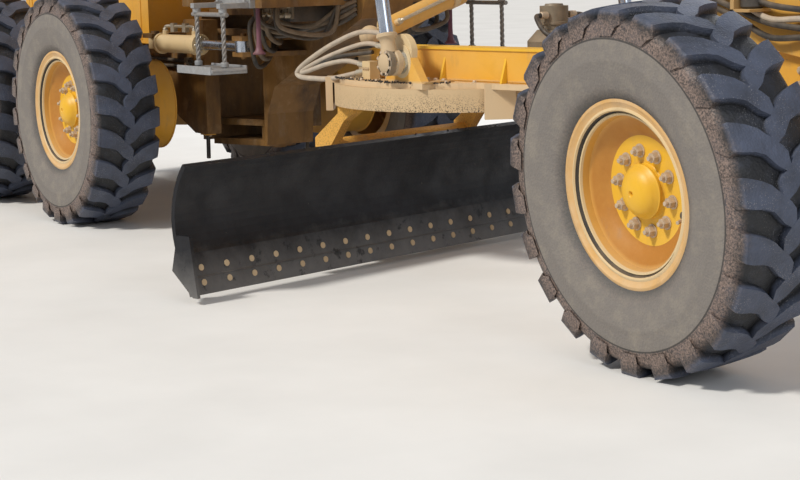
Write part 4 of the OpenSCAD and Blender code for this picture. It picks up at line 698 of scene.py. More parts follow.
# Steps: tread plates with roller ends on two twisted wire ropes
def steps():
    low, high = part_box("ladders")
    x0, x1, tread_z = low.x, high.x, 0.905
    for side, hand in HANDS:
        parts = Parts()
        y0, y1, middle = side * (high.y - 0.200), side * high.y, side * (high.y - 0.100)
        parts.box((x0, y0, tread_z), (x1, y1, tread_z + 0.012))
        for y in (y0, y1):
            parts.box((x0, y - 0.005, tread_z), (x1, y + 0.005, tread_z + 0.040))
        for k in range(9):
            x = x0 + 0.025 + k * (x1 - x0 - 0.05) / 8
            parts.box((x - 0.007, y0 + side * 0.006, tread_z + 0.010),
                      (x + 0.007, y1 - side * 0.006, tread_z + 0.030))
        for x in (x0 + 0.004, x1 - 0.004):
            parts.rod((x, y0, tread_z + 0.016), (x, y1, tread_z + 0.016), 0.013, 12)
        for x in (x0 + 0.045, x1 - 0.045):
            for z in (0.918, 0.948, 1.222):
                parts.rod((x, middle, z - 0.010), (x, middle, z + 0.016), 0.021, 14)
            parts.box((x - 0.020, side * 0.700, 1.236), (x + 0.020, side * 0.890, 1.262))
            parts.bolt((x, side * 0.740, 1.265), UP, 0.012)
        parts.box((x0 + 0.020, side * 0.690, 1.233), (x1 - 0.020, side * 0.720, 1.325))
        parts.rod((x0, middle, 1.205), (x1, middle, 1.205), 0.012, 16, 1)
        obj = parts.make(f"step_plates_{hand}", "front_frame", "zinc rope", "dusty_paint", 0.0015)
        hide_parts("ladders")
        ropes = Parts()
        for x in (x0 + 0.045, x1 - 0.045):
            for strand in range(3):
                points = []
                for k in range(25):
                    a = 2 * math.pi * strand / 3 + k * 0.9
                    points.append((x + 0.0065 * math.cos(a), middle + 0.0065 * math.sin(a),
                                   0.920 + 0.305 * k / 24))
                ropes.tube(points, 0.0064, 7, 0, 2)
        obj = ropes.make(f"step_ropes_{hand}", "front_frame", "rope", "dusty_paint")
        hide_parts("ladders")


# Seat: padded cushion and back with two seams, on a boxed suspension
def pad(name, size, place, crown):
    """A cushion: a block of size, its faces crowned outwards and quilted by seams."""
    n, m, k = 22, 22, 5
    verts, index, faces = [], {}, []

    def point(u, v, w):
        key = (u, v, w)
        if key not in index:
            a, b, c = 2 * u / n - 1, 2 * v / m - 1, 2 * w / k - 1
            # rounded box, as a superellipsoid
            g = max(abs(a), abs(b), abs(c)) / (abs(a) ** 7 + abs(b) ** 7 + abs(c) ** 7) ** (1 / 7)
            x, y, z = a * g, b * g, c * g
            bulge = (1 - a * a) * (1 - b * b)
            seam = sum(math.exp(-((b - s) / 0.05) ** 2) for s in (-0.5, 0.5)) * (1 - a * a)
            z += c * (crown * bulge - 0.10 * seam * (1 if c > 0 else 0))
            index[key] = len(verts)
            verts.append(place @ Vector((x * size[0] / 2, y * size[1] / 2, z * size[2] / 2)))
        return index[key]

    for w in (0, k):
        for u in range(n):
            for v in range(m):
                f = [point(u, v, w), point(u + 1, v, w), point(u + 1, v + 1, w), point(u, v + 1, w)]
                faces.append(f if w else f[::-1])
    for w in range(k):
        for u in range(n):
            faces.append([point(u, 0, w), point(u + 1, 0, w), point(u + 1, 0, w + 1), point(u, 0, w + 1)])
            faces.append([point(u, m, w), point(u, m, w + 1), point(u + 1, m, w + 1), point(u + 1, m, w)])
        for v in range(m):
            faces.append([point(0, v, w), point(0, v, w + 1), point(0, v + 1, w + 1), point(0, v + 1, w)])
            faces.append([point(n, v, w), point(n, v + 1, w), point(n, v + 1, w + 1), point(n, v, w + 1)])
    parts = Parts()
    parts.add(verts, faces)
    obj = placed(name, parts.mesh(name, "vinyl", sharp=False), "front_frame")
    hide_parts("seat")


def seat():
    x, z = -1.195, 1.405
    pad("seat_cushion", (0.50, 0.51, 0.130), Matrix.Translation((x + 0.020, 0, z + 0.395)), 0.30)
    lean = Matrix.Translation((x - 0.221, 0, z + 0.746)) @ Matrix.Rotation(math.radians(80), 4, "Y")
    pad("seat_back", (0.625, 0.475, 0.120), lean, 0.25)
    base, rests = Parts(), Parts()
    base.box((x - 0.150, -0.150, z), (x + 0.170, 0.150, z + 0.020))
    for k in range(9):
        low, r = z + 0.020 + k * 0.032, 0.010 if k % 2 else 0.0
        base.box((x - 0.150 + r, -0.150 + r, low), (x + 0.170 - r, 0.150 - r, low + 0.032))
    base.box((x - 0.210, -0.235, z + 0.308), (x + 0.250, 0.235, z + 0.335))
    for side in (-1, 1):
        y = side * 0.270
        base.box((x - 0.150, y - 0.020, z + 0.330), (x - 0.090, y + 0.020, z + 0.575))
        base.box((x - 0.150, side * 0.235 - 0.030, z + 0.315), (x - 0.090, y + 0.020, z + 0.345))
        y = side * 0.300
        rests.box((x - 0.150, y - 0.036, z + 0.560), (x + 0.230, y + 0.036, z + 0.615))
    obj = base.make("seat_base", "front_frame", "plastic", "seat_cloth", 0.006)
    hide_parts("seat")
    obj = rests.make("seat_armrests", "front_frame", "vinyl", "seat_cloth", 0.016)
    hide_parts("seat")


steps()
seat()


# Cylinders: collars, gland bolts, ports and a pipe, all on the barrel
def cylinder(piece, base, axis, radius, length, finish, ports, turn):
    """base is the barrel's closed end; ports are shares of its length and turn is their direction."""
    side, up, along = frame_of(axis)
    turn = math.radians(turn)
    parts = Parts()
    out = side * math.cos(turn) + up * math.sin(turn)
    for at, w, inner in ((0.0, 0.020, 0.018), (1.0, -0.045, -0.043)):
        collar = [(radius - 0.002, 0), (radius + 0.008, 0.002), (radius + 0.009, inner), (radius - 0.002, w)]
        parts.revolve(collar, base + along * (length * at), axis, 32)
    for u, v in ring(8, radius - 0.012):
        parts.hexagon(base + along * length + side * u + up * v, axis, 0.008, 0.007, 1)
    for share in ports:
        p = base + along * (length * share) + out * (radius - 0.004)
        parts.rod(p, p + out * 0.028, 0.017, 14)
        parts.hexagon(p + out * 0.028, out, 0.015, 0.014, 1)
    # steel pipe along the barrel, in two clamps
    a, b = (base + along * (length * share) + out * (radius + 0.036) for share in ports)
    lift, step = out * 0.012, along * 0.020
    parts.tube([a, a + lift + step, a.lerp(b, 0.5) + lift, b + lift - step, b], 0.009, 10, 1)
    for share in (0.3, 0.7):
        clamp = Matrix.Translation(a.lerp(b, share)) @ Matrix((side, out, along)).transposed().to_4x4()
        parts.box((-0.014, -0.020, -0.016), (0.014, 0.030, 0.016), 1, clamp)
    name = piece.replace("barrel", "barrel_fittings")
    return parts.make(name, piece, f"{finish} fitting", f"{finish}_paint")


for side, hand in HANDS:
    down = Vector(JOINTS[f"lift_rod_{hand}_slide"]["axis"])
    saddle = Vector((0.805, side * 0.700, 1.850))
    turn = 200 if side < 0 else -20
    cylinder(f"lift_barrel_{hand}", saddle - down * 0.76, down, 0.062, 1.095, "yellow", (0.06, 0.60), turn)
    out = Vector(JOINTS[f"hitch_rod_{hand}_slide"]["axis"])
    eye = Vector((-1.845, side * 0.560, 1.010))
    cylinder(f"hitch_barrel_{hand}", eye + out * 0.064, out, 0.052, 0.416, "cream", (0.12, 0.86), 90)
across = Vector(JOINTS["shift_rod_slide"]["axis"])
ball = Vector((0.480, -0.500, 1.100))
cylinder("shift_barrel", ball + across * 0.100, across, 0.048, 0.490, "cream", (0.10, 0.90), 160)


# Right and left ears of the drawbar with the caps over the lift rods' eyes
def ears():
    x, z = 0.985, 1.000
    for side, hand in HANDS:
        out = (0, side, 0)
        parts, cap = Parts(), Parts()
        # rounded plate outboard of the beam, with a raised collar
        outline = [(-0.150, -0.094), (0.075, -0.094)]
        outline += [(u, 0.036 + v) for u, v in ring(11, 0.092, 15, 15)]
        outline += [(-0.118, 0.000)]
        place = Matrix(((1, 0, 0, x - 0.010), (0, 0, 1, side * 0.618), (0, 1, 0, z), (0, 0, 0, 1)))
        parts.plate(outline, 0.034, place)
        parts.revolve([(0, 0), (0.074, 0), (0.078, 0.003), (0.078, 0.006), (0, 0.006)],
                      (x, side * 0.635, z + 0.004),
                      out, 32)
        # foot of the ear and its bolts on the bottom plate
        parts.box((x - 0.160, side * 0.47, 0.905), (x + 0.180, side * 0.632, 0.914), 1)
        for k in range(5):
            parts.bolt((x - 0.130 + 0.068 * k, side * 0.505, 0.912), UP, 0.011, 2)
        parts.make(f"drawbar_ear_{hand}", "drawbar", "cream dusty nut", "cream_paint", 0.003)
        # two halves bolted together across the rod's eye
        for half in (0, 1):
            cap.revolve([(0, 0), (0.054, 0), (0.060, 0.006), (0.060, 0.030), (0.054, 0.036), (0, 0.036)],
                        (x, side * (0.659 + half * 0.040), z), out, 36, half)
        cap.revolve([(0, 0.078), (0.046, 0.078), (0.046, 0.088), (0.030, 0.098), (0, 0.100)],
                    (x, side * 0.650, z),
                    out, 28, 0)
        for u, v in ring(8, 0.051, 22.5):
            cap.bolt((x + u, side * 0.733, z + v), out, 0.0075, 2)
        cap.revolve([(0.027, -0.135), (0.045, -0.135), (0.049, -0.130), (0.049, -0.118), (0.038, -0.108),
                     (0.034, -0.085), (0.040, -0.045), (0.027, -0.045)],
                    (x, side * 0.700, z), JOINTS[f"lift_rod_{hand}_slide"]["axis"], 28, 0)
        cap.make(f"lift_cap_{hand}", f"lift_rod_{hand}", "worn forged nut", "cream_paint")


# Webs of the drawbar: flanges, gussets and weld beads; bolts along the plate over the circle
def drawbar_trim():
    parts = Parts()
    foot_z, flange_half, flange_z, flange_t = 0.906, 0.064, 1.050, 0.012
    for side in (-1, 1):
        a, b = Vector((2.745, side * 0.070, foot_z)), Vector((0.615, side * 0.470, foot_z))
        d = (b - a).normalized()
        n = Vector((-d.y, d.x, 0))
        if n.y * side < 0:
            n = -n
        corners = [s + n * (flange_half * t) for s, t in ((a + d * 0.03, 1), (b, 1), (b, -1),
                                                          (a + d * 0.03, -1))]
        verts = [(c.x, c.y, flange_z + h) for h in (0, flange_t) for c in corners]
        parts.add(verts, [(0, 1, 2, 3), (7, 6, 5, 4), (0, 4, 5, 1), (1, 5, 6, 2), (2, 6, 7, 3),
                          (3, 7, 4, 0)], 0)
        for share in (0.42, 0.62, 0.80):
            c = a.lerp(b, share) + n * 0.054
            triangle = [Vector((0, 0, 0)), n * 0.040, Vector((0, 0, 0.120))]
            verts = [c + t + d * k for k in (-0.006, 0.006) for t in triangle]
            parts.add(verts, [(2, 1, 0), (3, 4, 5), (0, 1, 4, 3), (1, 2, 5, 4), (2, 0, 3, 5)], 0)
        # weld bead along the web's foot, laid twice in one place
        bead = n * 0.056 + Vector((0, 0, 0.002))
        for _ in range(2):
            parts.rod(a + bead + d * 0.1, b + bead, 0.005, 8, 1)
    for u, v in ring(14, 0.690 * 0.985, 200, 11):
        parts.bolt((0.735 + u, v, foot_z), UP, 0.010, 2)
    parts.make("drawbar_trim", "drawbar", "clean yellow nut", "yellow_paint", 0.0015)


ears()
drawbar_trim()


# Loops of hose behind the right ear, to the valve ends on the drawbar
def loop_hose(name, points, r, finish="hose", ends=True):
    parts = Parts()
    parts.tube(points, r, 12, 0, 9)
    if ends:
        for p, q in (points[:2], points[:-3:-1]):
            p = Vector(p)
            d = (Vector(q) - p).normalized()
            parts.rod(p - d * 0.012, p + d * 0.050, r * 1.22, 14, 1)
            parts.hexagon(p - d * 0.030, d, r * 1.45, 0.022, 1)
            parts.rod(p - d * 0.055, p - d * 0.028, r * 0.9, 12, 1)
    parts.make(name, "drawbar", f"{finish} fitting", "dusty_paint")


LOOPS = (
    ("a", 0.0125, "hose", ((0.86, -0.585, 1.075), (0.74, -0.590, 1.120), (0.56, -0.605, 1.125),
                           (0.34, -0.625, 1.065), (0.14, -0.645, 0.985), (0.03, -0.655, 0.925),
                           (0.05, -0.655, 0.897), (0.18, -0.652, 0.893), (0.36, -0.645, 0.900),
                           (0.58, -0.600, 0.940))),
    ("b", 0.0115, "hose", ((0.70, -0.560, 1.060), (0.56, -0.580, 1.070), (0.34, -0.612, 1.020),
                           (0.12, -0.640, 0.950), (0.055, -0.648, 0.918), (0.11, -0.645, 0.925),
                           (0.28, -0.630, 0.965), (0.44, -0.610, 0.985), (0.58, -0.590, 0.968))),
    ("c", 0.0100, "black_hose", ((0.60, -0.520, 1.060), (0.42, -0.585, 1.040), (0.22, -0.620, 0.985),
                                 (0.10, -0.635, 0.935), (0.16, -0.630, 0.945), (0.34, -0.615, 1.000),
                                 (0.60, -0.560, 1.030))),
)
for letter, r, finish, points in LOOPS:
    loop_hose("loop_hose_" + letter, points, r, finish, ends=letter != "c")
blocks = Parts()
blocks.rod((0.700, -0.545, 1.062), (0.790, -0.520, 1.068), 0.026, 20, 1)
blocks.rod((0.786, -0.521, 1.068), (0.812, -0.514, 1.070), 0.031, 20, 0)
blocks.box((0.830, -0.605, 1.050), (0.890, -0.560, 1.085), 0)
blocks.box((0.590, -0.615, 0.906), (0.660, -0.560, 0.990), 0)
for k in range(3):
    blocks.bolt((0.606 + 0.02 * k, -0.616, 0.955), (0, -1, 0), 0.006, 1)
blocks.make("drawbar_fittings", "drawbar", "cream worn", "cream_paint", 0.002)


# Under the cab: valve bank with its hoses, drain pipe, and what hangs from the rear frame
def valve_bank():
    for side, hand in HANDS:
        out = (0, side, 0)
        parts, bundle, pipe = Parts(), Parts(), Parts()
        y0, y1 = side * 0.185, side * 0.420
        for k in range(6):
            x = -0.80 + k * 0.066
            parts.box((x, y0, 1.150), (x + 0.058, y1, 1.275), 0)
            parts.box((x + 0.004, y0 - side * 0.010, 1.165), (x + 0.054, y1 + side * 0.010, 1.255), 1)
            for z in (1.185, 1.235):
                p = Vector((x + 0.029, side * 0.430, z))
                parts.rod(p, p + Vector((0, side * 0.022, 0)), 0.013, 12, 2)
                parts.hexagon(p + Vector((0, side * 0.018, 0)), out, 0.015, 0.016, 2)
            parts.rod((x + 0.029, side * 0.30, 1.270), (x + 0.029, side * 0.30, 1.330), 0.010, 10, 2)
        parts.box((-0.830, y0, 1.240), (-0.385, y1, 1.262), 1)
        for x in (-0.818, -0.398):
            parts.box((x - 0.008, y0, 1.255), (x + 0.008, y1, 1.334), 1)
        parts.make(f"valve_bank_{hand}", "front_frame", "iron forged fitting", "drive_iron", 0.002)
        # six hoses from the upper ports run forward, four from the lower ones run back
        for k in range(6):
            x, reach, low = -0.771 + k * 0.066, 0.47 + 0.022 * (k % 3), 1.07 + 0.018 * (k % 4)
            bundle.tube([(x, side * 0.452, 1.235), (x + 0.02, side * reach, 1.215),
                         (x + 0.06, side * (reach - 0.01), low + 0.03), (x + 0.12, side * (0.36 - 0.02 * k),
                                                                         low),
                         (-0.34 + 0.012 * k, side * 0.215, 1.13 + 0.028 * k),
                         (-0.225, side * 0.150, 1.19 + 0.022 * k)], 0.0125, 10, k % 2, 7)
        for k in range(4):
            x, low = -0.771 + k * 0.066, 0.90 + 0.045 * k
            bundle.tube([(x, side * 0.452, 1.185), (x - 0.02, side * 0.490, 1.12),
                         (x - 0.10, side * 0.42, low + 0.02), (x - 0.22, side * 0.30, low),
                         (-1.10 + 0.01 * k, side * 0.185, low + 0.08 + 0.02 * k),
                         (-1.16, side * 0.172, 1.10 + 0.05 * k)], 0.0125, 10, k % 2, 7)
        bundle.make(f"valve_hoses_{hand}", "front_frame", "black_hose brown_hose", "dusty_paint")
        top = (-0.480, side * 0.600, 1.334)
        pipe.revolve([(0, 0), (0.012, 0), (0.012, 0.26), (0.014, 0.30), (0.020, 0.325), (0.034, 0.340),
                      (0.034, 0.346), (0.010, 0.344), (0, 0.344)], top, (0, 0, -1), 24, 0)
        pipe.revolve([(0, 0), (0.030, 0), (0.030, 0.008), (0.014, 0.010), (0, 0.010)], top, (0, 0, -1), 20,
                     1)
        pipe.make(f"drain_pipe_{hand}", "front_frame", "mauve nut", "dusty_paint")


def rear_hangers():
    for side, hand in HANDS:
        parts = Parts()
        y, out = side * 0.335, side * 0.382
        parts.box((-1.700, y - 0.030, 0.470), (-1.620, y + 0.030, 0.482))
        for x in (-1.688, -1.632):
            parts.bolt((x, y, 0.471), (0, 0, -1), 0.009, 1)
        parts.rod((-1.660, y, 0.474), (-1.672, y - side * 0.004, 0.330), 0.012, 14, 2)
        # pipes along the rail, in clamps
        for z in (0.90, 0.865):
            parts.tube([(x, out + side * 0.016, z) for x in (-3.10, -2.60, -2.10, -1.70)], 0.011, 10, 2, 4)
        for x in (-3.00, -2.30, -1.76):
            parts.box((x - 0.020, out - side * 0.004, 0.845), (x + 0.020, out + side * 0.032, 0.920), 3)
            parts.bolt((x, out + side * 0.031, 0.8825), (0, side, 0), 0.008, 1)
        parts.make(f"rail_pipes_{hand}", "rear_frame", "yellow nut black_hose forged", "dusty_paint", 0.0012)


# Hoses and brackets along the front frame, over the drawbar's ball
def nose_hoses():
    for side, hand in HANDS:
        parts, bracket = Parts(), Parts()
        for k in range(4):
            odd, z = k % 2, 1.16 + 0.035 * k
            points = [(2.30, 0, 0.16), (2.52, 0.004, 0.11), (2.74, 0.014, 0.05),
                      (2.93, 0.024, -0.02 + 0.02 * odd),
                      (3.10, 0.010, -0.02), (3.26, 0, -0.03)]
            parts.tube([(x, side * (0.168 + 0.004 * odd + dy), z + dz) for x, dy, dz in points],
                       0.0125, 10, 1 if k == 2 else 0, 8)
        for x, z in ((2.42, 1.37), (3.18, 1.185)):
            parts.box((x - 0.022, side * 0.148, z - 0.060), (x + 0.022, side * 0.192, z + 0.075), 2)
            for dz in (-0.045, 0.062):
                parts.bolt((x, side * 0.191, z + dz), (0, side, 0), 0.008, 3)
        parts.make(f"nose_hoses_{hand}", "front_frame", "black_hose hose yellow nut", "dusty_paint", 0.0012)
        bracket.box((2.790, side * 0.148, 1.235), (2.812, side * 0.262, 1.330), 0)
        bracket.box((2.790, side * 0.148, 1.235), (2.900, side * 0.262, 1.247), 0)
        bracket.revolve([(0, 0), (0.036, 0), (0.046, 0.008), (0.046, 0.046), (0.036, 0.056), (0, 0.056)],
                        (2.845, side * 0.196, 1.247), UP, 28, 1)
        bracket.revolve([(0, 0), (0.020, 0), (0.020, 0.018), (0.012, 0.022), (0, 0.022)],
                        (2.845, side * 0.196, 1.302), UP, 16, 1)
        bracket.make(f"nose_bracket_{hand}", "front_frame", "dusty iron", "dusty_paint", 0.0015)


# Crumbs of asphalt that lie on flat tops
def crumbs(name, body, spots, size, seed):
    rng = np.random.default_rng(seed)
    parts = Parts()
    for x, y, z in spots:
        r = size * (0.5 + rng.random())
        side, up, along = frame_of(Vector(rng.normal(size=3)).normalized())
        h = r * (1.1 + 0.5 * rng.random())
        corners = [along * h * 0.8, -along * h * 0.7]
        corners += [(side * math.cos(a) + up * math.sin(a)) * r * (0.7 + 0.5 * rng.random())
                    for a in (0, 1.3, 2.6, 3.8, 5.0)]
        parts.add([Vector((x, y, z + r * 0.45)) + v for v in corners],
                  [(0, 2 + k, 2 + (k + 1) % 5) for k in range(5)] + [(1, 2 + (k + 1) % 5,
                                                                      2 + k) for k in range(5)])
    parts.make(name, body, "crumb", "worn_steel", smooth=False)


def plate_crumbs():
    """Along the edge of the drawbar's plate, over the circle."""
    rng = np.random.default_rng(7)
    spots = []
    for _ in range(420):
        a = math.radians(rng.uniform(-128, -48))
        r = 0.735 - abs(rng.normal()) * 0.045
        spots.append((0.735 + r * math.cos(a), r * math.sin(a), 0.906))
    crumbs("crumbs_plate", "drawbar", [s for s in spots if abs(s[1]) < 0.70], 0.0045, 11)


valve_bank()
rear_hangers()
nose_hoses()
plate_crumbs()


TREES = {}


def hit(node, p, d):
    """Where a ray from p along d first meets a CAD node, and the face's normal there."""
    if node not in TREES:
        TREES[node] = BVHTree.FromObject(NODES[node], bpy.context.evaluated_depsgraph_get())
    place, normal, _, _ = TREES[node].ray_cast(Vector(p), Vector(d).normalized())
    return place, normal


def rim_strip(parts, corners, out, width, height=0.006):
    """A strip of rubber around an opening, its corners in order, standing out of the face by height."""
    out = Vector(out)
    n = len(corners)
    centre = sum((Vector(c) for c in corners), Vector()) / n
    section = ((-0.002, -0.004), (width, -0.004), (width, height * 0.6), (width * 0.5, height),
               (-0.002, height * 0.7))
    for i in range(n):
        a, b = Vector(corners[i]), Vector(corners[(i + 1) % n])
        d = (b - a).normalized()
        w = out.cross(d)
        if w.dot(a - centre) < 0:
            w = -w
        verts = [q + w * t + out * h for q in (a - d * width, b + d * width) for t, h in section]
        faces = [(k, (k + 1) % 5, 5 + (k + 1) % 5, 5 + k) for k in range(5)] + [(4, 3, 2, 1, 0),
                                                                                (5, 6, 7, 8, 9)]
        parts.add(verts, faces)


def rect(plane, at, a0, a1, z0, z1):
    """Corners of an upright opening: plane "x" faces fore and aft, plane "y" faces sideways."""
    if plane == "x":
        return [(at, a0, z0), (at, a1, z0), (at, a1, z1), (at, a0, z1)]
    return [(a0, at, z0), (a1, at, z0), (a1, at, z1), (a0, at, z1)]


CAB_BACK, CAB_FRONT, CAB_TOP, CAB_Y = -1.615, -0.165, 3.125, 0.750


def cab_windows():
    rubber = Parts()
    rim_strip(rubber, rect("x", CAB_FRONT, -0.640, 0.640, 1.905, 3.015), (1, 0, 0), 0.016)
    rim_strip(rubber, rect("x", CAB_BACK, -0.640, 0.640, 2.045, 3.015), (-1, 0, 0), 0.016)
    for side, y0, y1 in ((-1, -0.64, -0.21), (1, 0.21, 0.64)):
        rim_strip(rubber, rect("x", CAB_FRONT, y0, y1, 1.475, 1.845), (1, 0, 0), 0.014)
        rim_strip(rubber, rect("y", side * CAB_Y, -1.525, -1.265, 2.045, 3.015), (0, side, 0), 0.014)
    rubber.make("window_rubber_cab", "front_frame", "vinyl", "console_plastic")


def cab_sides():
    for side, hand in HANDS:
        out = (0, side, 0)
        rubber, lock, rail = Parts(), Parts(), Parts()
        for z0, z1 in ((1.965, 2.919), (1.545, 1.885)):
            rim_strip(rubber, rect("y", side * CAB_Y, -1.099, -0.351, z0, z1), out, 0.014)
        rubber.make(f"window_rubber_door_{hand}", f"door_{hand}", "vinyl", "console_plastic")
        lock.revolve([(0, 0), (0.026, 0), (0.026, 0.006), (0.020, 0.010), (0, 0.010)],
                     (-0.305, side * 0.749, 1.895),
                     out, 24, 0)
        lock.revolve([(0, 0), (0.010, 0), (0.010, 0.012), (0.008, 0.014), (0, 0.014)],
                     (-0.305, side * 0.751, 1.895),
                     out, 16, 1)
        for z in (1.631, 1.659, 2.801, 2.829):
            lock.bolt((-1.140, side * 0.763, z), out, 0.007, 1)
        for x in (-0.331, -0.291):
            lock.rod((x, side * 0.772, 1.920), (x, side * 0.772, 1.947), 0.004, 8, 1)
        lock.make(f"door_lock_{hand}", f"door_{hand}", "plastic nut", "console_plastic", 0.001)
        # grab rail on the front corner post
        x = -0.212
        rail.tube([(x, side * y, z) for y, z in ((0.752, 1.560), (0.780, 1.568), (0.794, 1.600),
                                                 (0.794, 2.05),
                                                 (0.794, 2.50), (0.780, 2.532), (0.752,
                                                                                 2.540))], 0.0125, 14, 0, 8)
        for z in (1.560, 2.540):
            rail.revolve([(0, 0), (0.026, 0), (0.026, 0.007), (0.015, 0.009), (0, 0.009)],
                         (x, side * 0.749, z),
                         out, 20, 0)
            for dz in (-0.018, 0.018):
                rail.hexagon((x, side * 0.755, z + dz), out, 0.005, 0.005, 1)
        rail.make(f"grab_rail_{hand}", "front_frame", "plastic nut", "console_plastic")


def wipers():
    parts = Parts()
    for x, y, z, out, reach in ((CAB_FRONT, -0.330, 1.868, 1, 0.52), (CAB_FRONT, 0.330, 1.868, 1, 0.52),
                                (CAB_BACK, 0.0, 2.000, -1, 0.44)):
        parts.revolve([(0, 0), (0.024, 0), (0.024, 0.010), (0.016, 0.018), (0, 0.018)], (x, y, z),
                      (out, 0, 0), 20)
        root = Vector((x + out * 0.020, y, z))
        tip = root + Vector((0, 0.13, reach))
        parts.tube([root, root.lerp(tip, 0.5) + Vector((out * 0.010, 0, 0)), tip], 0.006, 8, 0, 6)
        parts.box((tip.x - 0.004, tip.y - 0.006, tip.z - 0.25), (tip.x + 0.008, tip.y + 0.006, tip.z + 0.20))
        rubber_x = tip.x - out * 0.010
        parts.box((rubber_x - 0.006, tip.y - 0.002, tip.z - 0.26),
                  (rubber_x + 0.006, tip.y + 0.002, tip.z + 0.21))
    parts.make("wipers", "front_frame", "plastic", "console_plastic", 0.001)


def roof():
    """Gutter along the edge, pressed beads and lifting pads."""
    parts = Parts()
    x0, x1, y1 = CAB_BACK + 0.050, CAB_FRONT, CAB_Y - 0.070
    gutter = []
    for cx, cy, first in ((x1, y1, 0), (x0, y1, 90), (x0, -y1, 180), (x1, -y1, 270)):
        gutter += [(cx + u, cy + v, CAB_TOP + 0.030) for u, v in ring(6, 0.112, first, 18)]
    parts.tube(gutter + gutter[:1], 0.0065, 8, 0, 2)
    for k in range(5):
        parts.revolve([(0, 0), (0.012, 0.006), (0.014, 0.020), (0.014, 1.020), (0.012, 1.034), (0, 1.040)],
                      (-1.46, -0.44 + 0.22 * k, CAB_TOP + 0.1245), (1, 0, 0), 12, 0)
    for x in (-1.52, -0.24):
        for y in (-0.60, 0.60):
            parts.box((x - 0.030, y - 0.020, CAB_TOP + 0.1290), (x + 0.030, y + 0.020, CAB_TOP + 0.1360), 0)
            for dx in (-0.018, 0.018):
                parts.bolt((x + dx, y, CAB_TOP + 0.1355), UP, 0.007, 1)
    parts.make("roof_trim", "front_frame", "yellow nut", "yellow_paint", 0.001)


def cab_walls():
    """Pressed seams, vents and bolts on the lower walls."""
    parts = Parts()
    for side in (-1, 1):
        for z in (1.395, 2.005):
            parts.box((-1.560, side * 0.748, z), (-1.255, side * 0.754, z + 0.012))
        for k in range(4):
            parts.bolt((-1.530 + 0.080 * k, side * 0.750, 1.372), (0, side, 0), 0.008, 1)
        for k in range(5):
            parts.box((-1.520, side * 0.748, 1.60 + 0.045 * k), (-1.290, side * 0.757, 1.618 + 0.045 * k), 2)
    for k in range(9):
        for x, out in ((CAB_FRONT, 1), (CAB_BACK, -1)):
            parts.bolt((x, -0.66 + 0.165 * k, 1.385), (out, 0, 0), 0.008, 1)
    parts.make("cab_seams", "front_frame", "yellow nut plastic", "yellow_paint", 0.001)


def lamps():
    cups, tail, faces = Parts(), Parts(), Parts()
    for side in (-1, 1):
        for x, y, z, r0, r1, h in ((3.615, side * 0.235, 1.500, 0.060, 0.085, 0.090),
                                   (-0.153, side * 0.620, 3.055, 0.045, 0.055, 0.060)):
            cups.revolve([(0, -0.004), (r0, -0.004), (r0 + 0.003, -0.002), (r1 + 0.0035, h - 0.010),
                          (r1 + 0.0075, h - 0.008), (r1 + 0.0075, h + 0.004), (r1 - 0.006, h + 0.004),
                          (r1 - 0.006, h - 0.001)], (x, y, z), (1, 0, 0), 32)
            for u, v in ring(3, r1 + 0.001, 90):
                cups.hexagon((x + h + 0.003, y + u, z + v), (1, 0, 0), 0.004, 0.004)
        # sleeves over the brackets
        cups.box((3.6235, side * 0.151, 1.3585), (3.6615, side * 0.267, 1.3915), 1)
        cups.box((3.6235, side * 0.2185, 1.3900), (3.6615, side * 0.2515, 1.4440), 1)
        cups.bolt((3.640, side * 0.200, 1.3915), UP, 0.009, 2)
        cups.box((-0.1460, side * 0.620 - 0.0165, 3.0980), (-0.1140, side * 0.620 + 0.0165, 3.1248), 1)
        # bezels of the rear lamps
        y = side * 0.470
        for z in (0.960, 1.030):
            tail.revolve([(0.033, -0.002), (0.037, 0.002), (0.037, 0.014), (0.030, 0.017), (0.028, 0.012)],
                         (-4.055, y, z), (-1, 0, 0), 28)
        tail.box((-4.0575, y - 0.046, 0.918), (-4.0500, y + 0.046, 1.072), 0)
        for z in (0.926, 1.064):
            tail.bolt((-4.0573, y, z), (-1, 0, 0), 0.005, 1)
        # bright face of the mirror and its clamp
        y = side * 1.010
        place = Matrix(((0, 0, 1, -0.1215), (1, 0, 0, y), (0, 1, 0, 2.435), (0, 0, 0, 1)))
        faces.plate([(0.078 * u, 0.145 * v) for u, v in ring(36, 1)], 0.003, place, 0)
        faces.box((-0.124, y - 0.020, 2.560), (-0.086, y + 0.020, 2.606), 1)
        faces.bolt((-0.086, y, 2.583), (1, 0, 0), 0.006, 2)
    cups.make("lamp_cups", "front_frame", "plastic yellow nut", "mirror_black")
    tail.make("rear_lamp_bezels", "rear_frame", "plastic nut", "console_plastic")
    faces.make("mirror_faces", "front_frame", "chrome plastic nut", "rod_chrome")


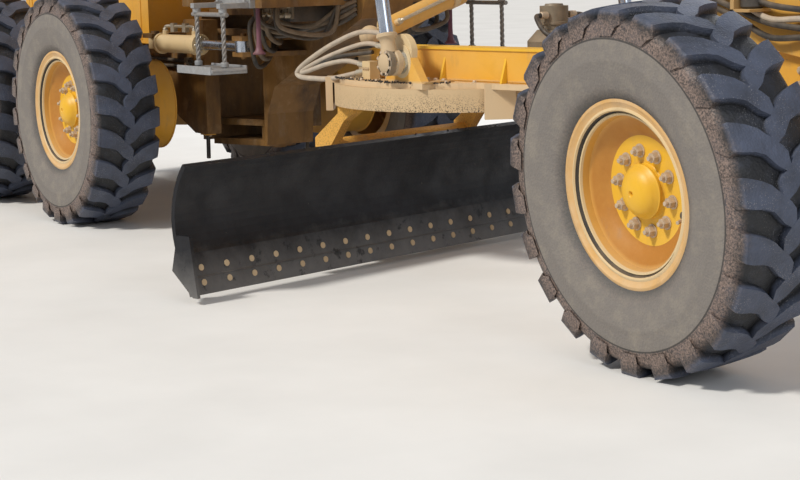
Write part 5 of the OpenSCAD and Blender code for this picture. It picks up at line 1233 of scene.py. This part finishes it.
def console_trim():
    parts = Parts()
    for side in (-1, 1):
        # levers' knobs and boots
        for k in (-1, 0, 1):
            y = side * 0.150 + k * 0.045
            parts.revolve([(0, -0.010), (0.010, -0.008), (0.0145, 0.004), (0.0150, 0.018), (0.011, 0.030),
                           (0, 0.034)],
                          (-0.565, y, 2.222), UP, 16, 0)
            parts.revolve([(0, 0), (0.020, 0), (0.017, 0.010), (0.012, 0.022), (0.008, 0.030), (0, 0.030)],
                          (-0.565, y, 2.104), UP, 16, 0)
        parts.box((-0.655, side * 0.150 - 0.077, 2.100), (-0.473, side * 0.150 + 0.077, 2.107), 1)
    # instruments: two dials over a row of buttons
    turn = Matrix.Translation((-0.470, 0, 2.085)) @ Matrix.Rotation(math.radians(-40), 4, "Y")
    axis = turn.to_3x3() @ Vector((-1, 0, 0))
    parts.box((-0.012, -0.070, -0.060), (0.012, 0.070, 0.060), 1, turn)
    for y in (-0.036, 0.036):
        parts.revolve([(0, 0), (0.026, 0), (0.028, 0.003), (0.025, 0.005), (0, 0.004)],
                      turn @ Vector((-0.012, y, 0.012)), axis, 24, 2)
    for k in range(4):
        parts.revolve([(0, 0), (0.006, 0), (0.006, 0.004), (0, 0.005)],
                      turn @ Vector((-0.012, -0.045 + 0.03 * k, -0.038)), axis, 12, 3)
    # pedals
    for y in (-0.210, 0.210):
        pedal = Matrix.Translation((-0.330, y, 1.460)) @ Matrix.Rotation(math.radians(-38), 4, "Y")
        parts.box((-0.006, -0.038, -0.060), (0.006, 0.038, 0.060), 0, pedal)
        for k in range(5):
            parts.box((-0.011, -0.034, -0.050 + 0.022 * k), (-0.004, 0.034, -0.040 + 0.022 * k), 0, pedal)
        parts.rod((-0.322, y, 1.404), (-0.325, y, 1.452), 0.008, 10, 1)
    parts.make("console_trim", "front_frame", "vinyl plastic clear red", "console_plastic", 0.001)


cab_windows()
cab_sides()
wipers()
roof()
cab_walls()
lamps()
console_trim()


# Hood: seams, rails, caps, door latches and vents, and the radiator behind the grille
def hood_trim():
    parts = Parts()
    outline = [(0.5215, 1.02), (0.5215, 1.981), (0.4680, 2.0905), (0.3690, 2.1315)]
    for x in (-2.120, -2.760, -3.390, -3.860):
        path = [Vector((x, -y, z)) for y, z in outline] + [Vector((x, y, z)) for y, z in outline[::-1]]
        for a, b in zip(path, path[1:]):
            parts.rod(a, b, 0.0045, 8, 0)
    for side in (-1, 1):
        y = side * 0.330
        for x in (-2.30, -3.62):
            parts.tube([(x, y, 2.128), (x, y, 2.165), (x + 0.02, y, 2.178)], 0.009, 10, 2, 5)
        parts.tube([(-3.62, y, 2.165), (-3.30, y, 2.180), (-2.62, y, 2.180), (-2.30, y, 2.165)], 0.0105, 12,
                   2, 6)
        for k in range(12):
            parts.bolt((-3.80 + 0.15 * k, side * 0.5195, 1.050), (0, side, 0), 0.009, 1)
        for k in range(9):
            parts.bolt((-3.64 + 0.17 * k, side * 0.5195, 1.300), (0, side, 0), 0.007, 1)
    # filler cap and air cleaner's lid
    parts.revolve([(0, 0), (0.058, 0), (0.058, 0.006), (0.040, 0.008), (0.040, 0.022), (0.046, 0.024),
                   (0.046, 0.044), (0.040, 0.050), (0, 0.052)], (-2.42, -0.18, 2.128), UP, 28, 2)
    parts.revolve([(0, 0), (0.050, 0), (0.050, 0.030), (0.085, 0.040), (0.085, 0.080), (0.070, 0.094),
                   (0, 0.100)],
                  (-3.05, 0.16, 2.128), UP, 32, 2)
    parts.make("hood_trim", "rear_frame", "yellow nut plastic", "yellow_paint", 0.0008)
    for side, hand in HANDS:
        door, y = Parts(), side * 0.520
        for z in (1.450, 1.845):
            door.revolve([(0, 0), (0.030, 0), (0.032, 0.004), (0.024, 0.009), (0, 0.009)], (-2.270, y, z),
                         (0, side, 0), 24, 1)
            door.box((-2.292, y, z - 0.006), (-2.248, y + side * 0.019, z + 0.006), 1)
        # pressed frame and blades of the vents
        for z0, z1 in ((1.378, 1.388), (1.907, 1.917)):
            door.box((-3.620, y, z0), (-2.320, y + side * 0.005, z1), 0)
        for k in range(6):
            z = 1.495 + k * 0.055
            section = ((-0.028, 0.000), (0.004, 0.030), (0.007, 0.027), (-0.024, -0.003))
            verts = [Vector((x, y + side * d, z + h)) for x in (-3.540, -3.090) for d, h in section]
            door.add(verts, [(0, 1, 5, 4), (1, 2, 6, 5), (2, 3, 7, 6), (3, 0, 4, 7), (3, 2, 1, 0),
                             (4, 5, 6, 7)], 0)
        door.make(f"hood_door_trim_{hand}", f"hood_door_{hand}", "yellow plastic", "yellow_paint", 0.0008)


def grille_trim():
    parts = Parts()
    for k in range(6):
        for y in (-0.480, 0.480):
            parts.bolt((-3.971, y, 1.18 + 0.16 * k), (-1, 0, 0), 0.008, 1)
    parts.box((-3.9790, -0.030, 1.195), (-3.9700, 0.030, 1.201), 0)
    parts.revolve([(0, 0), (0.020, 0), (0.020, 0.008), (0, 0.010)], (-3.971, -0.480, 1.600), (-1, 0, 0), 20,
                  2)
    for y in (-0.15, 0.15):
        parts.box((-3.9640, y - 0.006, 1.205), (-3.9580, y + 0.006, 2.045), 0)
    parts.make("grille_trim", "rear_grille", "yellow nut plastic", "yellow_paint", 0.0008)


def radiator():
    """Tanks, posts, fins, fan and hoses."""
    parts = Parts()
    for z0, z1 in ((1.16, 1.24), (1.96, 2.04)):
        parts.box((-3.830, -0.400, z0), (-3.730, 0.400, z1), 0)
    for y in (-0.400, 0.385):
        parts.box((-3.820, y, 1.24), (-3.740, y + 0.015, 1.96), 0)
    for k in range(64):
        y = -0.380 + k * 0.0120
        parts.box((-3.808, y, 1.235), (-3.752, y + 0.0035, 1.965), 1)
    for k in range(12):
        parts.box((-3.812, -0.384, 1.27 + 0.058 * k), (-3.806, 0.384, 1.276 + 0.058 * k), 1)
    hub, pitch = Matrix.Translation((-3.640, 0, 1.60)), Matrix.Rotation(math.radians(28), 4, "Z")
    for k in range(7):
        turn = hub @ Matrix.Rotation(2 * math.pi * k / 7, 4, "X") @ pitch
        parts.box((-0.004, -0.045, 0.060), (0.004, 0.045, 0.330), 2, turn)
    parts.revolve([(0, -0.020), (0.060, -0.020), (0.065, 0.010), (0.050, 0.040), (0.020, 0.104), (0, 0.104)],
                  (-3.640, 0, 1.600), (1, 0, 0), 28, 2)
    for y in (-0.22, 0.22):
        parts.tube([(-3.735, y, 2.00), (-3.66, y, 2.01), (-3.58, y * 0.9, 1.96), (-3.52, y * 0.8, 1.90)],
                   0.028, 14, 2, 6)
        parts.rod((-3.735, y * 1.5, 1.180), (-3.52, y * 1.1, 1.180), 0.020, 12, 2)
    parts.make("radiator", "rear_frame", "iron exhaust plastic", "engine_block")


def engine_trim():
    parts = Parts()
    for k in range(6):
        x = -3.42 + 0.19 * k
        parts.box((x - 0.075, -0.125, 1.898), (x + 0.075, 0.125, 1.960), 0)
        parts.bolt((x, 0, 1.960), UP, 0.012, 2)
        for y in (-0.090, 0.090):
            parts.bolt((x, y, 1.960), UP, 0.008, 2)
        # exhaust ports on the right, injection lines on the left
        parts.rod((x, -0.265, 1.760), (x, -0.330, 1.760), 0.030, 14, 1)
        parts.tube([(x, 0.130, 1.93), (x + 0.01, 0.22, 1.95), (x + 0.02, 0.295, 1.88),
                    (-2.95 + 0.02 * k, 0.315, 1.72)],
                   0.005, 8, 2, 5)
    parts.rod((-3.50, -0.335, 1.760), (-2.40, -0.335, 1.760), 0.042, 20, 1)
    parts.tube([(-2.52, -0.335, 1.77), (-2.515, -0.30, 1.87), (-2.515, -0.15, 1.955), (-2.515, 0.0, 1.965)],
               0.040, 16, 1, 6)
    for k in range(3):
        x = -3.30 + 0.14 * k
        parts.revolve([(0, 0), (0.050, 0), (0.056, 0.008), (0.056, 0.180), (0.044, 0.190), (0.044, 0.215),
                       (0, 0.215)],
                      (x, 0.330, 1.420), UP, 28, 3)
        parts.box((x - 0.055, 0.268, 1.610), (x + 0.055, 0.370, 1.650), 0)
    parts.box((-3.04, 0.268, 1.600), (-2.72, 0.350, 1.740), 0)
    for k in range(5):
        parts.box((-3.46 + 0.22 * k, -0.278, 1.10), (-3.44 + 0.22 * k, 0.278, 1.70), 0)
    for side in (-1, 1):
        for k in range(11):
            for z in (1.115, 1.845):
                parts.bolt((-3.48 + 0.11 * k, side * 0.269, z), (0, side, 0), 0.009, 2)
    parts.revolve([(0, 0), (0.105, 0), (0.105, 0.012), (0.094, 0.020), (0.105, 0.028), (0.105, 0.040),
                   (0, 0.040)],
                  (-3.537, 0, 1.330), (-1, 0, 0), 32, 1)
    parts.make("engine_dress", "rear_frame", "iron exhaust nut plastic", "engine_block", 0.002)


def exhaust_trim():
    """Clamps, the muffler's perforated guard as bars, and the rain cap."""
    parts, x = Parts(), -2.515
    for z in (2.215, 2.545):
        parts.revolve([(0.1045, 0), (0.1090, 0.001), (0.1090, 0.023), (0.1045, 0.024)], (x, 0, z), UP, 36, 0)
        parts.bolt((x, -0.108, z + 0.012), (0, -1, 0), 0.006, 1)
    for k in range(26):
        turn = Matrix.Translation((x, 0, 0)) @ Matrix.Rotation(2 * math.pi * k / 26, 4, "Z")
        parts.box((0.1045, -0.003, 2.25), (0.1072, 0.003, 2.53), 0, turn)
    parts.revolve([(0.0600, 0), (0.0660, 0.002), (0.0660, 0.018), (0.0600, 0.020)], (x, 0, 2.134), UP, 32, 0)
    lid = Matrix.Translation((-2.562, 0, 2.772)) @ Matrix.Rotation(math.radians(-34), 4, "Y")
    parts.plate([(0.050 + u, v) for u, v in ring(24, 0.052)], 0.004, lid, 0)
    parts.rod((-2.563, -0.030, 2.768), (-2.563, 0.030, 2.768), 0.006, 10, 0)
    parts.make("exhaust_dress", "rear_frame", "exhaust nut", "exhaust_steel", 0.0006)


# Tandem cases and axles: covers, weld beads, plugs and bolts
def tandem_trim():
    parts, middle = Parts(), -2.635
    cover = ((-1, -0.150), (1, -0.150), (1, -0.110), (1, 0.110), (1, 0.150), (-1, 0.150), (-1, 0.110),
             (-1, -0.110))
    for side in (-1, 1):
        y, out = side * 0.800, (0, side, 0)
        outline = [(middle + 0.36 * sx * (0.84 if abs(dz) > 0.12 else 1), 0.665 + dz) for sx, dz in cover]
        place = Matrix(((1, 0, 0, 0), (0, 0, 1, y + side * 0.004), (0, 1, 0, 0), (0, 0, 0, 1)))
        parts.plate(outline, 0.010, place, 0)
        for k in range(7):
            for z in (0.530, 0.800):
                parts.bolt((middle - 0.270 + 0.09 * k, y + side * 0.009, z), out, 0.009, 1)
        for x, first in ((-3.3975, 90), (-1.8725, -90)):
            for u, v in ring(16, 0.205, 11.25):
                parts.bolt((x + u, y, 0.655 + v), out, 0.010, 1)
            for edge_y in (0.797, 0.553):
                arc = [(x + u, side * edge_y, 0.655 + v) for u, v in ring(13, 0.2555, first, 15)]
                parts.tube(arc, 0.0055, 8, 0, 2)
        parts.disc(0.030, 0.008, (-2.50, side * 0.675, 0.929), UP, 20, 1)
        parts.hexagon((-2.50, side * 0.675, 0.936), UP, 0.016, 0.016, 1)
        for u, v in ring(14, 0.165):
            parts.bolt((middle + u, side * 0.5495, 0.695 + v), out, 0.009, 1)
    for u, v in ring(18, 0.210):
        for side in (1, -1):
            parts.bolt((middle + u, side * 0.190, 0.695 + v), (0, side, 0), 0.010, 1)
    parts.make("tandem_trim", "rear_frame", "yellow nut", "yellow_paint", 0.0008)


def front_axle_trim():
    """Bolts where rays meet the front axle and the knuckles."""
    beam = Parts()
    for side in (-1, 1):
        for y in (0.22, 0.42, 0.60):
            place, normal = hit("front_axle", (3.60, side * y, 0.640), (-1, 0, 0))
            if place:
                beam.bolt(place, normal, 0.013, 1)
        place, normal = hit("front_axle", (3.285, side * 0.30, 1.0), (0, 0, -1))
        if place:
            beam.rod(place - normal * 0.002, place + normal * 0.018, 0.008, 10, 1)
    for u, v in ring(8, 0.075):
        place, normal = hit("front_axle", (3.60, u, 0.640 + v), (-1, 0, 0))
        if place:
            beam.bolt(place, normal, 0.011, 1)
    beam.make("front_axle_bolts", "front_frame", "forged nut", "axle_iron")
    for side, hand in HANDS:
        pin = Parts()
        up = Vector(JOINTS[f"steer_{hand}"]["axis"]).normalized()
        if up.z < 0:
            up = -up
        across, fore, _ = frame_of(up)
        low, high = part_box(f"knuckle_{hand}")
        centre = (Vector(low) + Vector(high)) / 2 + Vector((-0.015, side * 0.012, 0))
        for sign in (1, -1):
            for u, v in ring(4, 0.026, 45):
                start = centre + across * u + fore * v + up * (0.40 * sign)
                place, normal = hit(f"knuckle_{hand}", start, -up * sign)
                if place and abs(normal.dot(up)) > 0.9:
                    pin.bolt(place, normal, 0.007, 0)
        if pin.verts:
            pin.make(f"kingpin_bolts_{hand}", f"knuckle_{hand}", "nut", "axle_iron")


# Blade: plow bolts along the cutting edge, and crumbs on its top edge
def blade_trim():
    along = Vector(JOINTS["blade_side_shift"]["axis"]).normalized()
    if along.y >= 0:
        along = -along
    fore = Vector((-along.y, along.x, 0)).normalized()
    low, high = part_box("blade")
    centre = Vector(((low.x + high.x) / 2, (low.y + high.y) / 2, 0))
    bolts = Parts()
    for k in range(24):
        for z in (0.085, 0.150):
            p = centre + along * (-1.75 + 3.50 * k / 23) + Vector((0, 0, z))
            place, normal = hit("blade", p + fore * 0.9, -fore)
            if place:
                bolts.revolve([(0, 0), (0.015, 0), (0.0145, 0.0035), (0.008, 0.005), (0, 0.004)],
                              place - normal * 0.001, normal, 16, 0)
            place, normal = hit("blade", p - fore * 0.9, fore)
            if place:
                bolts.hexagon(place - normal * 0.001, normal, 0.014, 0.014, 1)
    bolts.make("blade_bolts", "blade", "worn nut", "blade_steel")
    rng = np.random.default_rng(21)
    spots = []
    for _ in range(900):
        p = centre + along * rng.uniform(-1.76, 1.76) + fore * rng.uniform(-0.30, 0.30) + Vector((0, 0, 1.2))
        place, normal = hit("blade", p, (0, 0, -1))
        if place and normal.z > 0.75 and place.z > 0.585:
            spots.append(tuple(place))
    crumbs("crumbs_blade", "blade", spots[:260], 0.0048, 5)


# Circle drive and the beam: flange bolts, motor ports and the bolts of the ball's cap
def drive_trim():
    parts, x = Parts(), 1.295
    for u, v in ring(16, 0.104):
        parts.bolt((x + u, v, 1.084), UP, 0.007, 1)
    parts.revolve([(0.124, 0), (0.140, 0.001), (0.140, 0.018), (0.124, 0.019)], (x, 0, 0.9065), UP, 40, 0)
    for u, v in ring(12, 0.132, 15):
        parts.bolt((x + u, v, 0.924), UP, 0.0075, 1)
    parts.revolve([(0.065, 0), (0.072, 0.002), (0.072, 0.014), (0.065, 0.016)], (x, 0, 1.150), UP, 32, 0)
    parts.revolve([(0, 0), (0.045, 0), (0.040, 0.010), (0, 0.012)], (x, 0, 1.2355), UP, 28, 0)
    for side in (-1, 1):
        parts.rod((x + 0.03, side * 0.060, 1.195), (x + 0.03, side * 0.100, 1.195), 0.017, 14, 1)
        parts.tube([(x + dx, side * y, z) for dx, y, z in ((0.03, 0.095, 1.195), (0.05, 0.135, 1.185),
                    (0.14, 0.150, 1.120), (0.26, 0.120, 1.075), (0.42, 0.200, 1.066))], 0.012, 12, 2, 7)
    parts.make("circle_drive_trim", "drawbar", "forged nut black_hose", "drive_iron")


def beam_trim():
    """Bolts of the ball's cap and of the front frame's beam, where rays meet them."""
    parts = Parts()
    for side in (-1, 1):
        for z in (0.900, 0.955, 1.010):
            place, normal = hit("ball_cap", (3.02, side * 0.4, z), (0, -side, 0))
            if place:
                parts.bolt(place, normal, 0.011, 0)
        for x in (3.330, 3.480, 3.640, 3.800, 3.960, 4.080):
            for z in (1.10, 1.28):
                place, normal = hit("front_frame", (x, side * 1.2, z), (0, -side, 0))
                if place and abs(normal.y) > 0.9 and abs(place.y) < 0.2:
                    parts.bolt(place, normal, 0.011, 0)
    for y in (-0.105, -0.035, 0.035, 0.105):
        for z in (1.05, 1.30):
            place, normal = hit("front_frame", (4.6, y, z), (-1, 0, 0))
            if place:
                parts.bolt(place - normal * 0.001, normal, 0.010, 0)
    parts.make("beam_bolts", "front_frame", "nut", "axle_iron")


hood_trim()
grille_trim()
radiator()
engine_trim()
exhaust_trim()
tandem_trim()
front_axle_trim()
blade_trim()
drive_trim()
beam_trim()


# Finishes of the CAD nodes
BY_SLOT = {
    "yellow_paint": "yellow", "dusty_paint": "dusty", "cream_paint": "cream", "rim_paint": "rim",
    "engine_block": "iron", "drive_iron": "forged", "axle_iron": "forged", "exhaust_steel": "exhaust",
    "worn_steel": "worn", "blade_steel": "blade", "rod_chrome": "chrome", "tyre_rubber": "tyre",
    "window_glass": "glass", "seat_cloth": "vinyl", "console_plastic": "plastic", "mirror_black": "plastic",
    "lamp_clear": "clear", "lamp_red": "red",
}
BY_NODE = {"front_frame": "grime_and_shade", "rear_frame": "grime_and_shade", "turn_circle": "splashed", "drawbar": "drawbar",
           "shift_barrel": "shift", "tandem_cases": "yellow"}
for part in frame["record"]["subparts"]:
    mesh = NODES[part["node"]].data
    finish = M[BY_NODE.get(part["node"], BY_SLOT[part["material_slot"]])]
    if not mesh.materials:
        mesh.materials.append(finish)
    for i in range(len(mesh.materials)):
        mesh.materials[i] = finish
